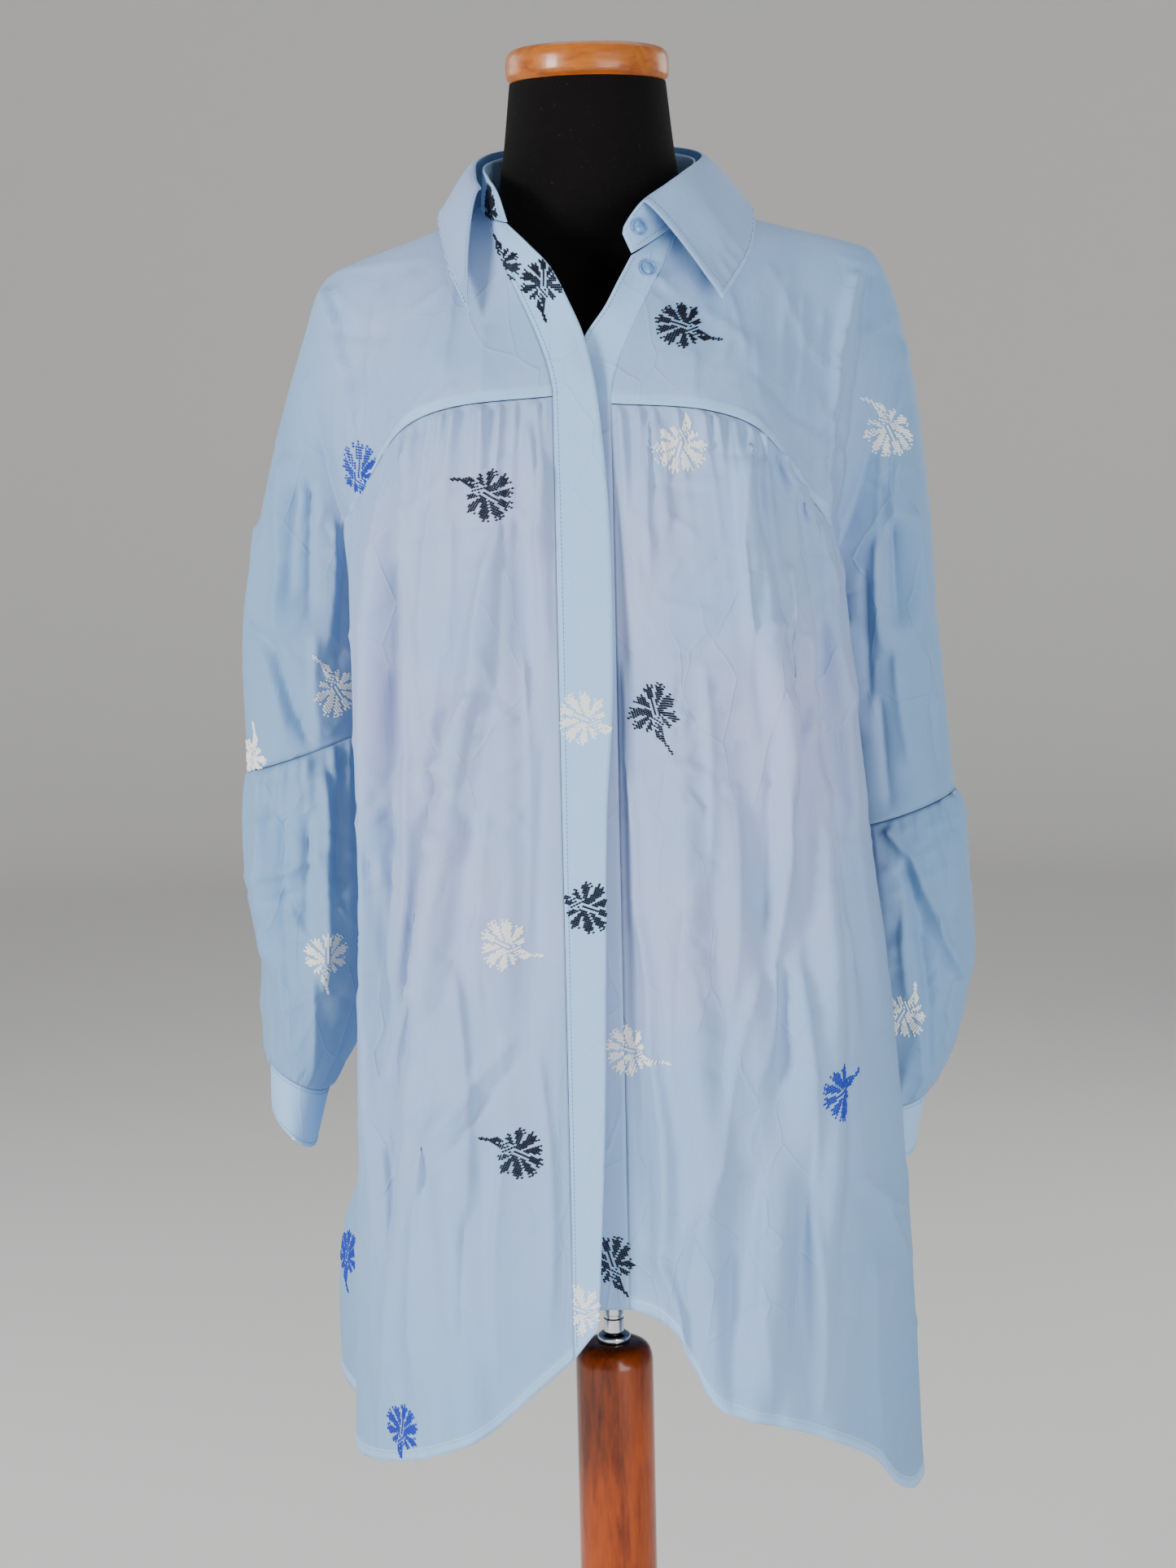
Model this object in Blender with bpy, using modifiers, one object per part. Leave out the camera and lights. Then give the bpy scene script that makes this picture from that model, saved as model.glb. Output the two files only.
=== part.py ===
"""An embroidered cotton tunic shirt standing on a covered dress form with a wooden pole.

Metres, +Z up. The floor is z = 0, the form's axis is x = y = 0 and the shirt's front faces -Y, so the
wearer's right side is at -X. Each cut piece of the shirt is an open sheet of points worked out from its
sections, given its thickness by a Solidify modifier.
"""

import math

import bmesh
import bpy
from mathutils import Vector

# Cloth
WALL = 0.0016
PLACKET_WALL = 0.0022
SEAM_GAP = 0.0003
ELBOW = 2.0

# Stand and form
BASE_RADIUS = 0.190
BASE_THICK = 0.030
POLE_RADIUS = 0.0305
POLE_TOP = 0.560
POLE_SHOULDER = 0.010
STEM_RADIUS = 0.008
FORM_BOTTOM = 0.705
CAP_BOTTOM = 1.5265
CAP_THICK = 0.0235
CAP_RADIUS = 0.0605
TOUCH = 0.0003

# Buttons
BUTTON_RADIUS = 0.0065
BUTTON_THICK = 0.0026
BUTTON_RIM = 0.0012
BUTTON_DISH = 0.0007

RIGHT, LEFT = -1, 1

# Level sections of the body, one row for each height. Columns: height, centre front y, front corner x and y,
# side seam x and y, back corner x and y, centre back y. The x values are distances from the axis.
BODY = {
    RIGHT: (
        (1.320, -0.1130, 0.148, -0.088, 0.176, -0.012, 0.150, 0.072, 0.100),
        (1.234, -0.1330, 0.174, -0.054, 0.176, 0.002, 0.166, 0.070, 0.118),
        (1.165, -0.1410, 0.181, -0.058, 0.171, 0.010, 0.166, 0.072, 0.126),
        (1.090, -0.1450, 0.183, -0.062, 0.158, 0.008, 0.158, 0.086, 0.131),
        (0.980, -0.1490, 0.184, -0.064, 0.152, 0.008, 0.156, 0.098, 0.136),
        (0.860, -0.1520, 0.187, -0.066, 0.155, 0.008, 0.162, 0.104, 0.140),
        (0.740, -0.1540, 0.190, -0.067, 0.168, 0.008, 0.176, 0.098, 0.145),
        (0.640, -0.1560, 0.194, -0.065, 0.192, 0.006, 0.214, 0.074, 0.150),
        (0.440, -0.1590, 0.199, -0.061, 0.200, 0.004, 0.216, 0.066, 0.156),
    ),
    LEFT: (
        (1.320, -0.1130, 0.128, -0.092, 0.166, -0.010, 0.150, 0.072, 0.100),
        (1.250, -0.1300, 0.150, -0.074, 0.170, -0.004, 0.162, 0.070, 0.115),
        (1.165, -0.1410, 0.174, -0.050, 0.172, 0.010, 0.167, 0.072, 0.126),
        (1.090, -0.1450, 0.185, -0.050, 0.161, 0.008, 0.160, 0.086, 0.131),
        (0.980, -0.1490, 0.197, -0.050, 0.158, 0.008, 0.160, 0.098, 0.136),
        (0.860, -0.1520, 0.214, -0.046, 0.166, 0.006, 0.166, 0.104, 0.140),
        (0.740, -0.1540, 0.224, -0.040, 0.176, 0.008, 0.180, 0.098, 0.145),
        (0.660, -0.1550, 0.230, -0.034, 0.196, 0.012, 0.196, 0.092, 0.150),
        (0.440, -0.1580, 0.238, -0.026, 0.232, 0.020, 0.222, 0.084, 0.156),
    ),
}
# Where the body's front edge starts beside the centre line: the placket's stitching and the band's.
FRONT_START = {RIGHT: -0.030, LEFT: 0.011}
MID_SHARE, MID_FALL = 0.60, 0.14

# Height of the yoke seam by the share of the way from the centre to the underarm. Columns: share, height.
FRONT_SEAM = {
    RIGHT: ((0.0, 1.298), (0.30, 1.293), (0.45, 1.285), (0.56, 1.271), (0.66, 1.247), (0.78, 1.218), (1.0, 1.165)),
    LEFT: ((0.0, 1.292), (0.28, 1.287), (0.44, 1.277), (0.54, 1.261), (0.64, 1.234), (0.78, 1.204), (1.0, 1.165)),
}
BACK_SEAM = ((0.0, 1.300), (0.30, 1.298), (0.50, 1.288), (0.66, 1.262), (0.82, 1.222), (1.0, 1.165))

# Height of the hem by the share of the way from the centre to the side seam. Columns: share, height.
FRONT_HEM = {
    RIGHT: ((0.0, 0.602), (0.10, 0.578), (0.22, 0.548), (0.40, 0.523), (0.66, 0.500), (0.85, 0.497), (1.0, 0.506)),
    LEFT: (
        (0.0, 0.634),
        (0.10, 0.622),
        (0.17, 0.572),
        (0.24, 0.556),
        (0.45, 0.528),
        (0.60, 0.498),
        (0.72, 0.460),
        (0.84, 0.448),
        (1.0, 0.470),
    ),
}
BACK_HEM = {
    RIGHT: ((0.0, 0.590), (0.30, 0.575), (0.60, 0.545), (0.82, 0.522), (1.0, 0.506)),
    LEFT: ((0.0, 0.590), (0.30, 0.572), (0.60, 0.530), (0.82, 0.490), (1.0, 0.470)),
}

# Folds that hang down the body. Columns: share of the way round at the top and bottom of the fold, height of
# its top and bottom, half width as a share, and how far it stands out (negative for a valley).
FRONT_FOLDS = {
    RIGHT: (
        (0.50, 0.55, 1.275, 0.870, 0.060, -0.0150),
        (0.59, 0.60, 1.250, 0.780, 0.055, 0.0090),
        (0.68, 0.66, 1.180, 0.800, 0.050, -0.0100),
        (0.17, 0.45, 1.200, 0.740, 0.065, 0.0080),
        (0.27, 0.55, 1.130, 0.700, 0.065, -0.0070),
        (0.36, 0.28, 1.010, 0.560, 0.090, 0.0075),
        (0.08, 0.10, 1.230, 0.900, 0.060, -0.0050),
    ),
    LEFT: (
        (0.00, 0.00, 1.240, 0.560, 0.110, -0.0130),
        (0.13, 0.19, 1.160, 0.500, 0.065, 0.0090),
        (0.40, 0.42, 1.275, 1.040, 0.055, 0.0080),
        (0.55, 0.47, 1.230, 0.740, 0.060, 0.0120),
        (0.63, 0.62, 1.220, 0.900, 0.055, -0.0100),
        (0.49, 0.25, 0.930, 0.560, 0.085, 0.0085),
        (0.30, 0.40, 1.100, 0.620, 0.075, -0.0070),
    ),
}
BACK_FOLDS = {
    RIGHT: (
        (0.12, 0.16, 1.270, 0.600, 0.080, 0.0110),
        (0.34, 0.38, 1.260, 0.560, 0.080, -0.0120),
        (0.56, 0.58, 1.230, 0.540, 0.080, 0.0130),
        (0.78, 0.76, 1.150, 0.620, 0.070, -0.0100),
    ),
    LEFT: (
        (0.10, 0.08, 1.270, 0.640, 0.080, -0.0090),
        (0.30, 0.28, 1.260, 0.560, 0.080, 0.0120),
        (0.52, 0.55, 1.230, 0.540, 0.080, -0.0120),
        (0.74, 0.72, 1.180, 0.580, 0.070, 0.0110),
    ),
}
FRONT_GATHERS, BACK_GATHERS = 14, 20
GATHER_HIGH, GATHER_LONG = 0.0032, 0.110

# Places and rises where the yoke's cloth is worked out. Its seam is straight between two places.
YOKE_PLACES = (
    *(0.0, 0.10, 0.20, 0.30, 0.38, 0.46, 0.54, 0.62, 0.70, 0.78, 0.86, 0.93, 1.0),
    *(1.07, 1.18, 1.35, 1.55, 1.76, 1.95, 1.9985),
)
YOKE_RISE = (0.0, 0.03, 0.14, 0.30, 0.46, 0.62, 0.76, 0.88, 0.965, 0.9975)
# How far the underarm seam's two edges stand apart. Columns: place, distance of each from the seam line.
UNDERARM_GAP = ((1.00, 0.0019), (1.07, 0.0017), (1.18, 0.0013), (1.35, 0.0007), (1.55, 0.0004), (2.0, 0.0003))
# Where the yoke's seam on the body ends, short of the side seam
SEAM_END = 0.992
# How many seam gaps the yoke's edge stands off its seam, and how many more beside its curve's end: more, place, reach
YOKE_OFF, YOKE_OFF_MORE = 2.0, (2.2, 0.60, 0.14)
# The same for the front strips' edges, and for their part above a way along the edge: more, way
STRIP_OFF, STRIP_OFF_MORE = 1.9, (2.0, 1.05)
BODY_SHARES = (0.0, 0.006, 0.025, 0.06, 0.12, 0.20, 0.30, 0.42, 0.54, 0.66, 0.78, 0.89, 1.0)

# Neck, shoulder and overarm line. Columns: place along the piece (0 is the centre front edge, 1 is over the
# underarm, 2 is the elbow seam), x, y, z, and the pull that shapes the cloth in front of the line.
TOP_LINE = {
    RIGHT: (
        (0.00, -0.0740, -0.046, 1.4275, -0.004, -0.022, -0.020),
        (0.20, -0.0790, -0.020, 1.4345, -0.020, -0.020, -0.008),
        (0.38, -0.0800, 0.003, 1.4385, -0.018, -0.030, 0.000),
        (0.52, -0.1070, 0.003, 1.4245, -0.004, -0.046, 0.000),
        (0.66, -0.1500, 0.004, 1.4090, 0.000, -0.052, 0.000),
        (0.80, -0.1840, 0.007, 1.3965, 0.000, -0.053, 0.000),
        (0.90, -0.2020, 0.012, 1.3840, 0.000, -0.050, 0.000),
        (1.00, -0.2170, 0.020, 1.3480, 0.000, -0.050, 0.000),
        (1.20, -0.2380, 0.029, 1.2850, 0.000, -0.056, 0.000),
        (1.45, -0.2570, 0.034, 1.2120, 0.000, -0.062, 0.000),
        (1.70, -0.2740, 0.035, 1.1300, 0.000, -0.064, 0.000),
        (ELBOW, -0.2750, 0.035, 1.0160, 0.000, -0.062, 0.000),
    ),
    LEFT: (
        (0.00, 0.0600, -0.058, 1.4175, 0.002, -0.020, -0.022),
        (0.20, 0.0740, -0.028, 1.4310, 0.020, -0.020, -0.008),
        (0.38, 0.0805, 0.003, 1.4395, 0.018, -0.030, 0.000),
        (0.52, 0.1190, 0.003, 1.4265, 0.004, -0.046, 0.000),
        (0.66, 0.1560, 0.004, 1.4165, 0.000, -0.052, 0.000),
        (0.80, 0.1900, 0.007, 1.4080, 0.000, -0.053, 0.000),
        (0.90, 0.2120, 0.012, 1.3980, 0.000, -0.050, 0.000),
        (1.00, 0.2280, 0.020, 1.3640, 0.000, -0.050, 0.000),
        (1.20, 0.2440, 0.029, 1.3000, 0.000, -0.056, 0.000),
        (1.45, 0.2550, 0.034, 1.2120, 0.000, -0.062, 0.000),
        (1.70, 0.2620, 0.035, 1.1150, 0.000, -0.064, 0.000),
        (ELBOW, 0.2740, 0.035, 0.9910, 0.000, -0.066, 0.000),
    ),
}
# Back neck line, from the centre back to the shoulder. Columns: place, x, y, z and the pull.
BACK_NECK = (
    (0.00, 0.0000, 0.0620, 1.4440, 0.0, 0.026, -0.018),
    (0.20, 0.0520, 0.0470, 1.4440, 0.012, 0.030, -0.010),
    (0.38, 0.0800, 0.0030, 1.4385, 0.018, 0.030, 0.000),
)
# Underarm line of the upper sleeve. Columns: place, x, y, z and the pull in front of it.
UNDER_LINE = {
    RIGHT: (
        (1.00, -0.1710, 0.010, 1.1650, -0.026, -0.024, 0.022),
        (1.25, -0.1790, 0.024, 1.1340, -0.010, -0.048, 0.004),
        (1.60, -0.1800, 0.033, 1.0930, 0.000, -0.062, 0.000),
        (ELBOW, -0.1780, 0.035, 1.0480, 0.000, -0.064, 0.000),
    ),
    LEFT: (
        (1.00, 0.1720, 0.010, 1.1650, 0.026, -0.024, 0.022),
        (1.25, 0.1810, 0.024, 1.1260, 0.010, -0.048, 0.004),
        (1.60, 0.1860, 0.033, 1.0500, 0.000, -0.062, 0.000),
        (ELBOW, 0.1860, 0.035, 0.9620, 0.000, -0.066, 0.000),
    ),
}
SEAM_PULL = 0.042

# Lower sleeves. Columns: share of the way down, outer x, y, z, inner x, y, z, depth in front and behind.
LOWER_SLEEVE = {
    RIGHT: (
        (0.00, -0.2750, 0.035, 1.0160, -0.1780, 0.035, 1.0480, 0.048, 0.048),
        (0.18, -0.2790, 0.035, 0.9700, -0.1750, 0.035, 0.9980, 0.060, 0.057),
        (0.40, -0.2775, 0.035, 0.9150, -0.1740, 0.035, 0.9350, 0.062, 0.058),
        (0.62, -0.2700, 0.035, 0.8650, -0.1780, 0.035, 0.8750, 0.057, 0.055),
        (0.84, -0.2695, 0.035, 0.8170, -0.1940, 0.035, 0.8120, 0.050, 0.050),
        (1.00, -0.2660, 0.035, 0.7880, -0.2200, 0.031, 0.7640, 0.042, 0.044),
    ),
    LEFT: (
        (0.00, 0.2740, 0.035, 0.9910, 0.1860, 0.035, 0.9620, 0.050, 0.050),
        (0.18, 0.2830, 0.036, 0.9440, 0.1840, 0.036, 0.9250, 0.062, 0.057),
        (0.42, 0.2895, 0.038, 0.8760, 0.1860, 0.038, 0.8650, 0.062, 0.057),
        (0.64, 0.2860, 0.040, 0.8320, 0.1900, 0.040, 0.8180, 0.056, 0.054),
        (0.84, 0.2740, 0.042, 0.7860, 0.1960, 0.042, 0.7740, 0.048, 0.048),
        (1.00, 0.2520, 0.044, 0.7480, 0.2020, 0.044, 0.7380, 0.040, 0.042),
    ),
}
CUFF = {
    RIGHT: (
        (0.00, -0.2660, 0.035, 0.7880, -0.2200, 0.031, 0.7640, 0.042, 0.044),
        (1.00, -0.2660, 0.033, 0.7520, -0.2320, 0.029, 0.7180, 0.042, 0.044),
    ),
    LEFT: (
        (0.00, 0.2520, 0.044, 0.7480, 0.2020, 0.044, 0.7380, 0.040, 0.042),
        (1.00, 0.2430, 0.045, 0.7030, 0.2050, 0.045, 0.6960, 0.040, 0.042),
    ),
}
SLEEVE_GATHERS = 14
SLEEVE_GATHER_HIGH, SLEEVE_GATHER_LONG = 0.0032, 0.060

# Free edges of the placket and of the band under it. Columns: height of the stitching line, x, y, z.
PLACKET_EDGE = (
    (1.4275, -0.0615, -0.0790, 1.4205),
    (1.408, -0.0460, -0.0880, 1.4060),
    (1.386, -0.0300, -0.0960, 1.3890),
    (1.362, -0.0160, -0.1040, 1.3620),
    (1.340, -0.0070, -0.1100, 1.3400),
    (1.300, 0.0010, -0.1240, 1.3020),
    (1.233, 0.0070, -0.1390, 1.2330),
    (1.165, 0.0090, -0.1455, 1.1650),
    (1.085, 0.0080, -0.1490, 1.0850),
    (1.000, 0.0020, -0.1530, 1.0020),
    (0.880, -0.0010, -0.1560, 0.8850),
    (0.740, -0.0050, -0.1580, 0.7550),
    (0.602, -0.0120, -0.1600, 0.6260),
)
BAND_EDGE = (
    (1.4175, 0.0285, -0.0890, 1.3965),
    (1.392, 0.0180, -0.0960, 1.3780),
    (1.372, 0.0080, -0.1000, 1.3600),
    (1.355, -0.0060, -0.1030, 1.3410),
    (1.315, -0.0180, -0.1080, 1.3120),
    (1.292, -0.0240, -0.1130, 1.2920),
    (1.233, -0.0250, -0.1250, 1.2330),
    (1.165, -0.0250, -0.1270, 1.1650),
    (1.000, -0.0250, -0.1350, 1.0000),
    (0.634, -0.0250, -0.1420, 0.6340),
)

# Collar stand. Columns: place from the wearer's right end to the left end, neck seam x, y, z, top edge x, y, z.
STAND = (
    (0.00, -0.0612, -0.0790, 1.4230, -0.0680, -0.0730, 1.4460),
    (0.12, -0.0740, -0.0460, 1.4292, -0.0745, -0.0470, 1.4560),
    (0.28, -0.0795, 0.0030, 1.4402, -0.0770, 0.0080, 1.4700),
    (0.40, -0.0530, 0.0480, 1.4452, -0.0505, 0.0465, 1.4800),
    (0.50, 0.0000, 0.0625, 1.4452, 0.0000, 0.0600, 1.4840),
    (0.60, 0.0530, 0.0480, 1.4452, 0.0520, 0.0465, 1.4800),
    (0.72, 0.0805, 0.0030, 1.4420, 0.0790, 0.0080, 1.4700),
    (0.86, 0.0600, -0.0580, 1.4200, 0.0580, -0.0560, 1.4500),
    (0.94, 0.0430, -0.0780, 1.4080, 0.0380, -0.0770, 1.4360),
    (1.00, 0.0285, -0.0890, 1.3990, 0.0200, -0.0870, 1.4180),
)
# Collar leaf. Columns: place, roll line x, y, z, outer edge x, y, z, and how far its middle stands off.
LEAF = (
    (0.00, -0.0790, -0.0560, 1.4480, -0.0880, -0.0960, 1.3570, 0.010),
    (0.10, -0.0830, -0.0400, 1.4570, -0.1020, -0.0740, 1.3880, 0.010),
    (0.22, -0.0820, 0.0060, 1.4735, -0.1120, -0.0120, 1.4290, 0.006),
    (0.36, -0.0580, 0.0500, 1.4840, -0.0980, 0.0640, 1.4180, 0.008),
    (0.50, 0.0000, 0.0660, 1.4880, 0.0000, 0.0900, 1.4170, 0.008),
    (0.64, 0.0590, 0.0500, 1.4840, 0.1000, 0.0640, 1.4190, 0.008),
    (0.78, 0.0840, 0.0060, 1.4735, 0.1190, -0.0120, 1.4310, 0.006),
    (0.90, 0.0660, -0.0500, 1.4560, 0.1150, -0.0600, 1.3990, 0.010),
    (1.00, 0.0370, -0.0800, 1.4350, 0.0930, -0.0980, 1.3640, 0.010),
)
# How far in from its roll the leaf begins, as a share of the roll's distance from the axis
ROLL_IN = 0.992
# Buttons: place along the stand and share of its height; height on the band and share of its width
BUTTON_ON_STAND = (0.965, 0.50)
BUTTON_ON_BAND = (1.392, 0.38)

# Dress form. Columns: height, half width, half depth, middle y.
FORM = (
    (FORM_BOTTOM, 0.128, 0.088, 0.000),
    (FORM_BOTTOM + 0.012, 0.144, 0.102, 0.000),
    (0.790, 0.149, 0.106, 0.002),
    (0.880, 0.140, 0.102, 0.004),
    (0.980, 0.122, 0.093, 0.004),
    (1.050, 0.127, 0.097, 0.000),
    (1.150, 0.148, 0.112, -0.004),
    (1.210, 0.160, 0.110, -0.004),
    (1.270, 0.176, 0.102, -0.002),
    (1.320, 0.190, 0.082, 0.000),
    (1.355, 0.1955, 0.066, 0.004),
    (1.376, 0.1930, 0.050, 0.005),
    (1.3935, 0.1790, 0.040, 0.005),
    (1.4074, 0.1480, 0.034, 0.003),
    (1.4190, 0.1000, 0.042, 0.001),
    (1.4330, 0.0750, 0.052, 0.000),
    (1.4600, 0.0660, 0.0565, 0.000),
    (CAP_BOTTOM - TOUCH, 0.0578, 0.0560, 0.000),
)

COLOURS = {
    "cotton": ((0.40, 0.57, 0.74), 0.85, 0.0),
    "button": ((0.46, 0.62, 0.80), 0.35, 0.0),
    "form_cover": ((0.012, 0.011, 0.011), 0.95, 0.0),
    "cap_wood": ((0.52, 0.24, 0.07), 0.40, 0.0),
    "pole_wood": ((0.20, 0.055, 0.010), 0.25, 0.0),
    "steel": ((0.80, 0.80, 0.82), 0.15, 1.0),
}


def clear_scene():
    for thing in list(bpy.data.objects):
        bpy.data.objects.remove(thing, do_unlink=True)


def material(name):
    made = bpy.data.materials.get(name)
    if made is None:
        colour, rough, metal = COLOURS[name]
        made = bpy.data.materials.new(name)
        made.use_nodes = True
        shader = made.node_tree.nodes["Principled BSDF"]
        shader.inputs["Base Color"].default_value = (*colour, 1.0)
        shader.inputs["Roughness"].default_value = rough
        shader.inputs["Metallic"].default_value = metal
    return made


def at(rows, key):
    """The columns of a table at a key between its rows, on one smooth curve."""
    keys = [row[0] for row in rows]
    key = min(max(key, keys[0]), keys[-1]) if keys[0] < keys[-1] else max(min(key, keys[0]), keys[-1])
    i = 0
    while i < len(rows) - 2 and (key - keys[i + 1]) * (keys[-1] - keys[0]) > 0:
        i += 1
    a, b = rows[i], rows[i + 1]
    before, after = rows[max(i - 1, 0)], rows[min(i + 2, len(rows) - 1)]
    span = b[0] - a[0]
    t = (key - a[0]) / span
    out = []
    for k in range(1, len(a)):
        slope_a = (b[k] - before[k]) / (b[0] - before[0])
        slope_b = (after[k] - a[k]) / (after[0] - a[0])
        out.append(
            (2 * t**3 - 3 * t**2 + 1) * a[k]
            + (t**3 - 2 * t**2 + t) * span * slope_a
            + (3 * t**2 - 2 * t**3) * b[k]
            + (t**3 - t**2) * span * slope_b
        )
    return out


def through(a, b, c, d, t):
    """A point between b and c on a smooth curve through a, b, c and d."""
    return 0.5 * (2 * b + (c - a) * t + (2 * a - 5 * b + 4 * c - d) * t * t + (3 * b - a - 3 * c + d) * t**3)


def plan(side, back, share, z):
    """A point of the body's level section, from its centre line to its side seam."""
    front_y, corner_x, corner_y, side_x, side_y, rear_x, rear_y, back_y = at(BODY[side], z)
    seam = Vector((side * side_x, side_y))
    if back:
        start = Vector((0.0, back_y))
        corner = Vector((side * rear_x, rear_y))
        beyond = Vector((side * corner_x, corner_y))
    else:
        start = Vector((FRONT_START[side], front_y))
        corner = Vector((side * corner_x, corner_y))
        beyond = Vector((side * rear_x, rear_y))
    mid = start.lerp(corner, MID_SHARE)
    mid.y = start.y + MID_FALL * (corner.y - start.y)
    mirrored = Vector((2 * start.x - mid.x, mid.y))
    points = (mirrored, start, mid, corner, seam, beyond)
    lengths = [(points[k + 1] - points[k]).length for k in (1, 2, 3)]
    along = share * sum(lengths)
    k = 0
    while k < 2 and along > lengths[k]:
        along -= lengths[k]
        k += 1
    return through(*points[k : k + 4], along / lengths[k])


def hump(x):
    return math.cos(math.pi * x / 2) ** 2 if abs(x) < 1 else 0.0


def fold_height(folds, share, z):
    """How far the hanging folds move the cloth out at a place on the body."""
    total = 0.0
    for top_share, low_share, top, low, half, high in folds:
        way = (top - z) / (top - low)
        if 0 < way < 1.3:
            place = top_share + (low_share - top_share) * way
            rise = min(1.0, way / 0.25) * min(1.0, (1.3 - way) / 0.3)
            total += high * rise * hump((share - place) / half)
    return total


def body(side, back, share, z, gather=0.0):
    """A point of the body's outer face. gather is 1 on a ridge, -1 in a groove and 0 on plain cloth."""
    step = 0.002
    here = plan(side, back, share, z)
    ahead = plan(side, back, min(share + step, 1.0), z) - plan(side, back, max(share - step, 0.0), z)
    out = Vector((ahead.y, -ahead.x)).normalized() * (side if not back else -side)
    seam = BACK_SEAM if back else FRONT_SEAM[side]
    below = at(seam, share)[0] - z
    folds = (BACK_FOLDS if back else FRONT_FOLDS)[side]
    edge = min(1.0, (1.0 - share) / 0.10)
    edge *= min(1.0, share / 0.10) if back else 1.0
    move = fold_height(folds, share, z) * edge
    if below > 0:
        move += gather * GATHER_HIGH * min(1.0, below / 0.012) * math.exp(-below / GATHER_LONG) * edge
    here = here + out * move
    return Vector((here.x, here.y, z))


def bezier(a, b, c, d, t):
    s = 1 - t
    return a * s**3 + b * (3 * s * s * t) + c * (3 * s * t * t) + d * t**3


def yoke(side, back, place, v):
    """A point of the yoke and upper sleeve: v runs from the yoke seam or underarm to the top line."""
    turn = -1 if back else 1
    if back and place < BACK_NECK[-1][0]:
        x, y, z, px, py, pz = at(BACK_NECK, place)
        top, pull = Vector((side * x, y, z)), Vector((side * px, py, pz))
        if side == LEFT:
            top.z += 0.001 * place / BACK_NECK[-1][0]
    else:
        x, y, z, px, py, pz = at(TOP_LINE[side], place)
        top, pull = Vector((x, y, z)), Vector((px, turn * py, pz))
    if place <= 1:
        height = at(BACK_SEAM if back else FRONT_SEAM[side], place)[0]
        low = body(side, back, place, height) if place < SEAM_END else seam_point(side, back, SEAM_END, 0.0)
        up = (body(side, back, place, height + 0.02) - body(side, back, place, height)).normalized() * SEAM_PULL
        more, middle, reach = YOKE_OFF_MORE
        low += up.normalized() * SEAM_GAP * (YOKE_OFF + more * hump((place - middle) / reach))
        x, y, z, px, py, pz = UNDER_LINE[side][0][1:]
        share = max(0.0, (place - 0.70) / 0.30)
        share = share * share * (3 - 2 * share)
        lift = up.lerp(Vector((px, turn * py, pz)), share)
    else:
        x, y, z, px, py, pz = at(UNDER_LINE[side], place)
        low = Vector((x, y - turn * at(UNDERARM_GAP, place)[0], z))
        lift = Vector((px, turn * py, pz))
    return bezier(low, low + lift, top + pull, top, v)


def loop(rows, q, turn):
    """A point of a sleeve's ring: turn 0 is the inner line, 0.5 the outer one, through the front."""
    ox, oy, oz, ix, iy, iz, front, rear = at(rows, q)
    outer, inner = Vector((ox, oy, oz)), Vector((ix, iy, iz))
    turn %= 1.0
    if turn <= 0.5:
        pull = Vector((0, -front * 4 / 3, 0))
        return bezier(inner, inner + pull, outer + pull, outer, turn * 2)
    pull = Vector((0, rear * 4 / 3, 0))
    return bezier(outer, outer + pull, inner + pull, inner, turn * 2 - 1)


def sheet(name, us, vs, point, thick=WALL, flip=False, ring=False, slot="cotton"):
    """One cut piece: a grid whose corners are moved to their points, with its thickness inside."""
    mesh = bpy.data.meshes.new(name)
    bm = bmesh.new()
    bmesh.ops.create_grid(bm, x_segments=len(us) - 1, y_segments=len(vs) - 1, size=0.5)
    bm.verts.ensure_lookup_table()
    for vert in bm.verts:
        i = round((vert.co.x + 0.5) * (len(us) - 1))
        j = round((vert.co.y + 0.5) * (len(vs) - 1))
        vert.co = point(i, us[i], j, vs[j])
    if ring:
        bmesh.ops.remove_doubles(bm, verts=bm.verts, dist=1e-6)
    if flip:
        bmesh.ops.reverse_faces(bm, faces=bm.faces)
    bm.to_mesh(mesh)
    bm.free()
    mesh.materials.append(material(slot))
    mesh.shade_smooth()
    made = bpy.data.objects.new(name, mesh)
    wall = made.modifiers.new("wall", "SOLIDIFY")
    wall.thickness = thick
    wall.offset = -1.0
    return made


def seam_point(side, back, share, down):
    """A point of the yoke seam, straight between the places where the yoke is worked out."""
    k = 0
    while YOKE_PLACES[k + 1] < share:
        k += 1
    a, b = YOKE_PLACES[k], min(YOKE_PLACES[k + 1], 1.0)
    seam = BACK_SEAM if back else FRONT_SEAM[side]
    ends = [body(side, back, place, at(seam, place)[0] - down) for place in (a, b)]
    return ends[0].lerp(ends[1], (share - a) / (b - a))


def panel_point(side, back, share, row, wave):
    """A point of a body panel: row is its place in the table of shares from the seam to the hem."""
    top = at(BACK_SEAM if back else FRONT_SEAM[side], share)[0]
    low = at((BACK_HEM if back else FRONT_HEM)[side], share)[0]
    down = BODY_SHARES[row] * (top - low)
    if row < 2:
        return seam_point(side, back, share, down)
    return body(side, back, share, top - down, wave)


def front_panel(side, name):
    columns = 2 * FRONT_GATHERS
    edge = 0.0006
    us = [edge + (1 - 2 * edge) * k / columns for k in range(columns + 1)]

    def point(i, u, j, v):
        place = u + 0.22 / columns * math.sin(2.1 * i) * (0 < i < columns)
        wave = (1 if i % 2 else -1) * (0.75 + 0.35 * math.sin(1.7 * i)) * (0 < i < columns)
        return panel_point(side, False, place, j, wave)

    return sheet(name, us, BODY_SHARES, point, flip=side == LEFT)


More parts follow.
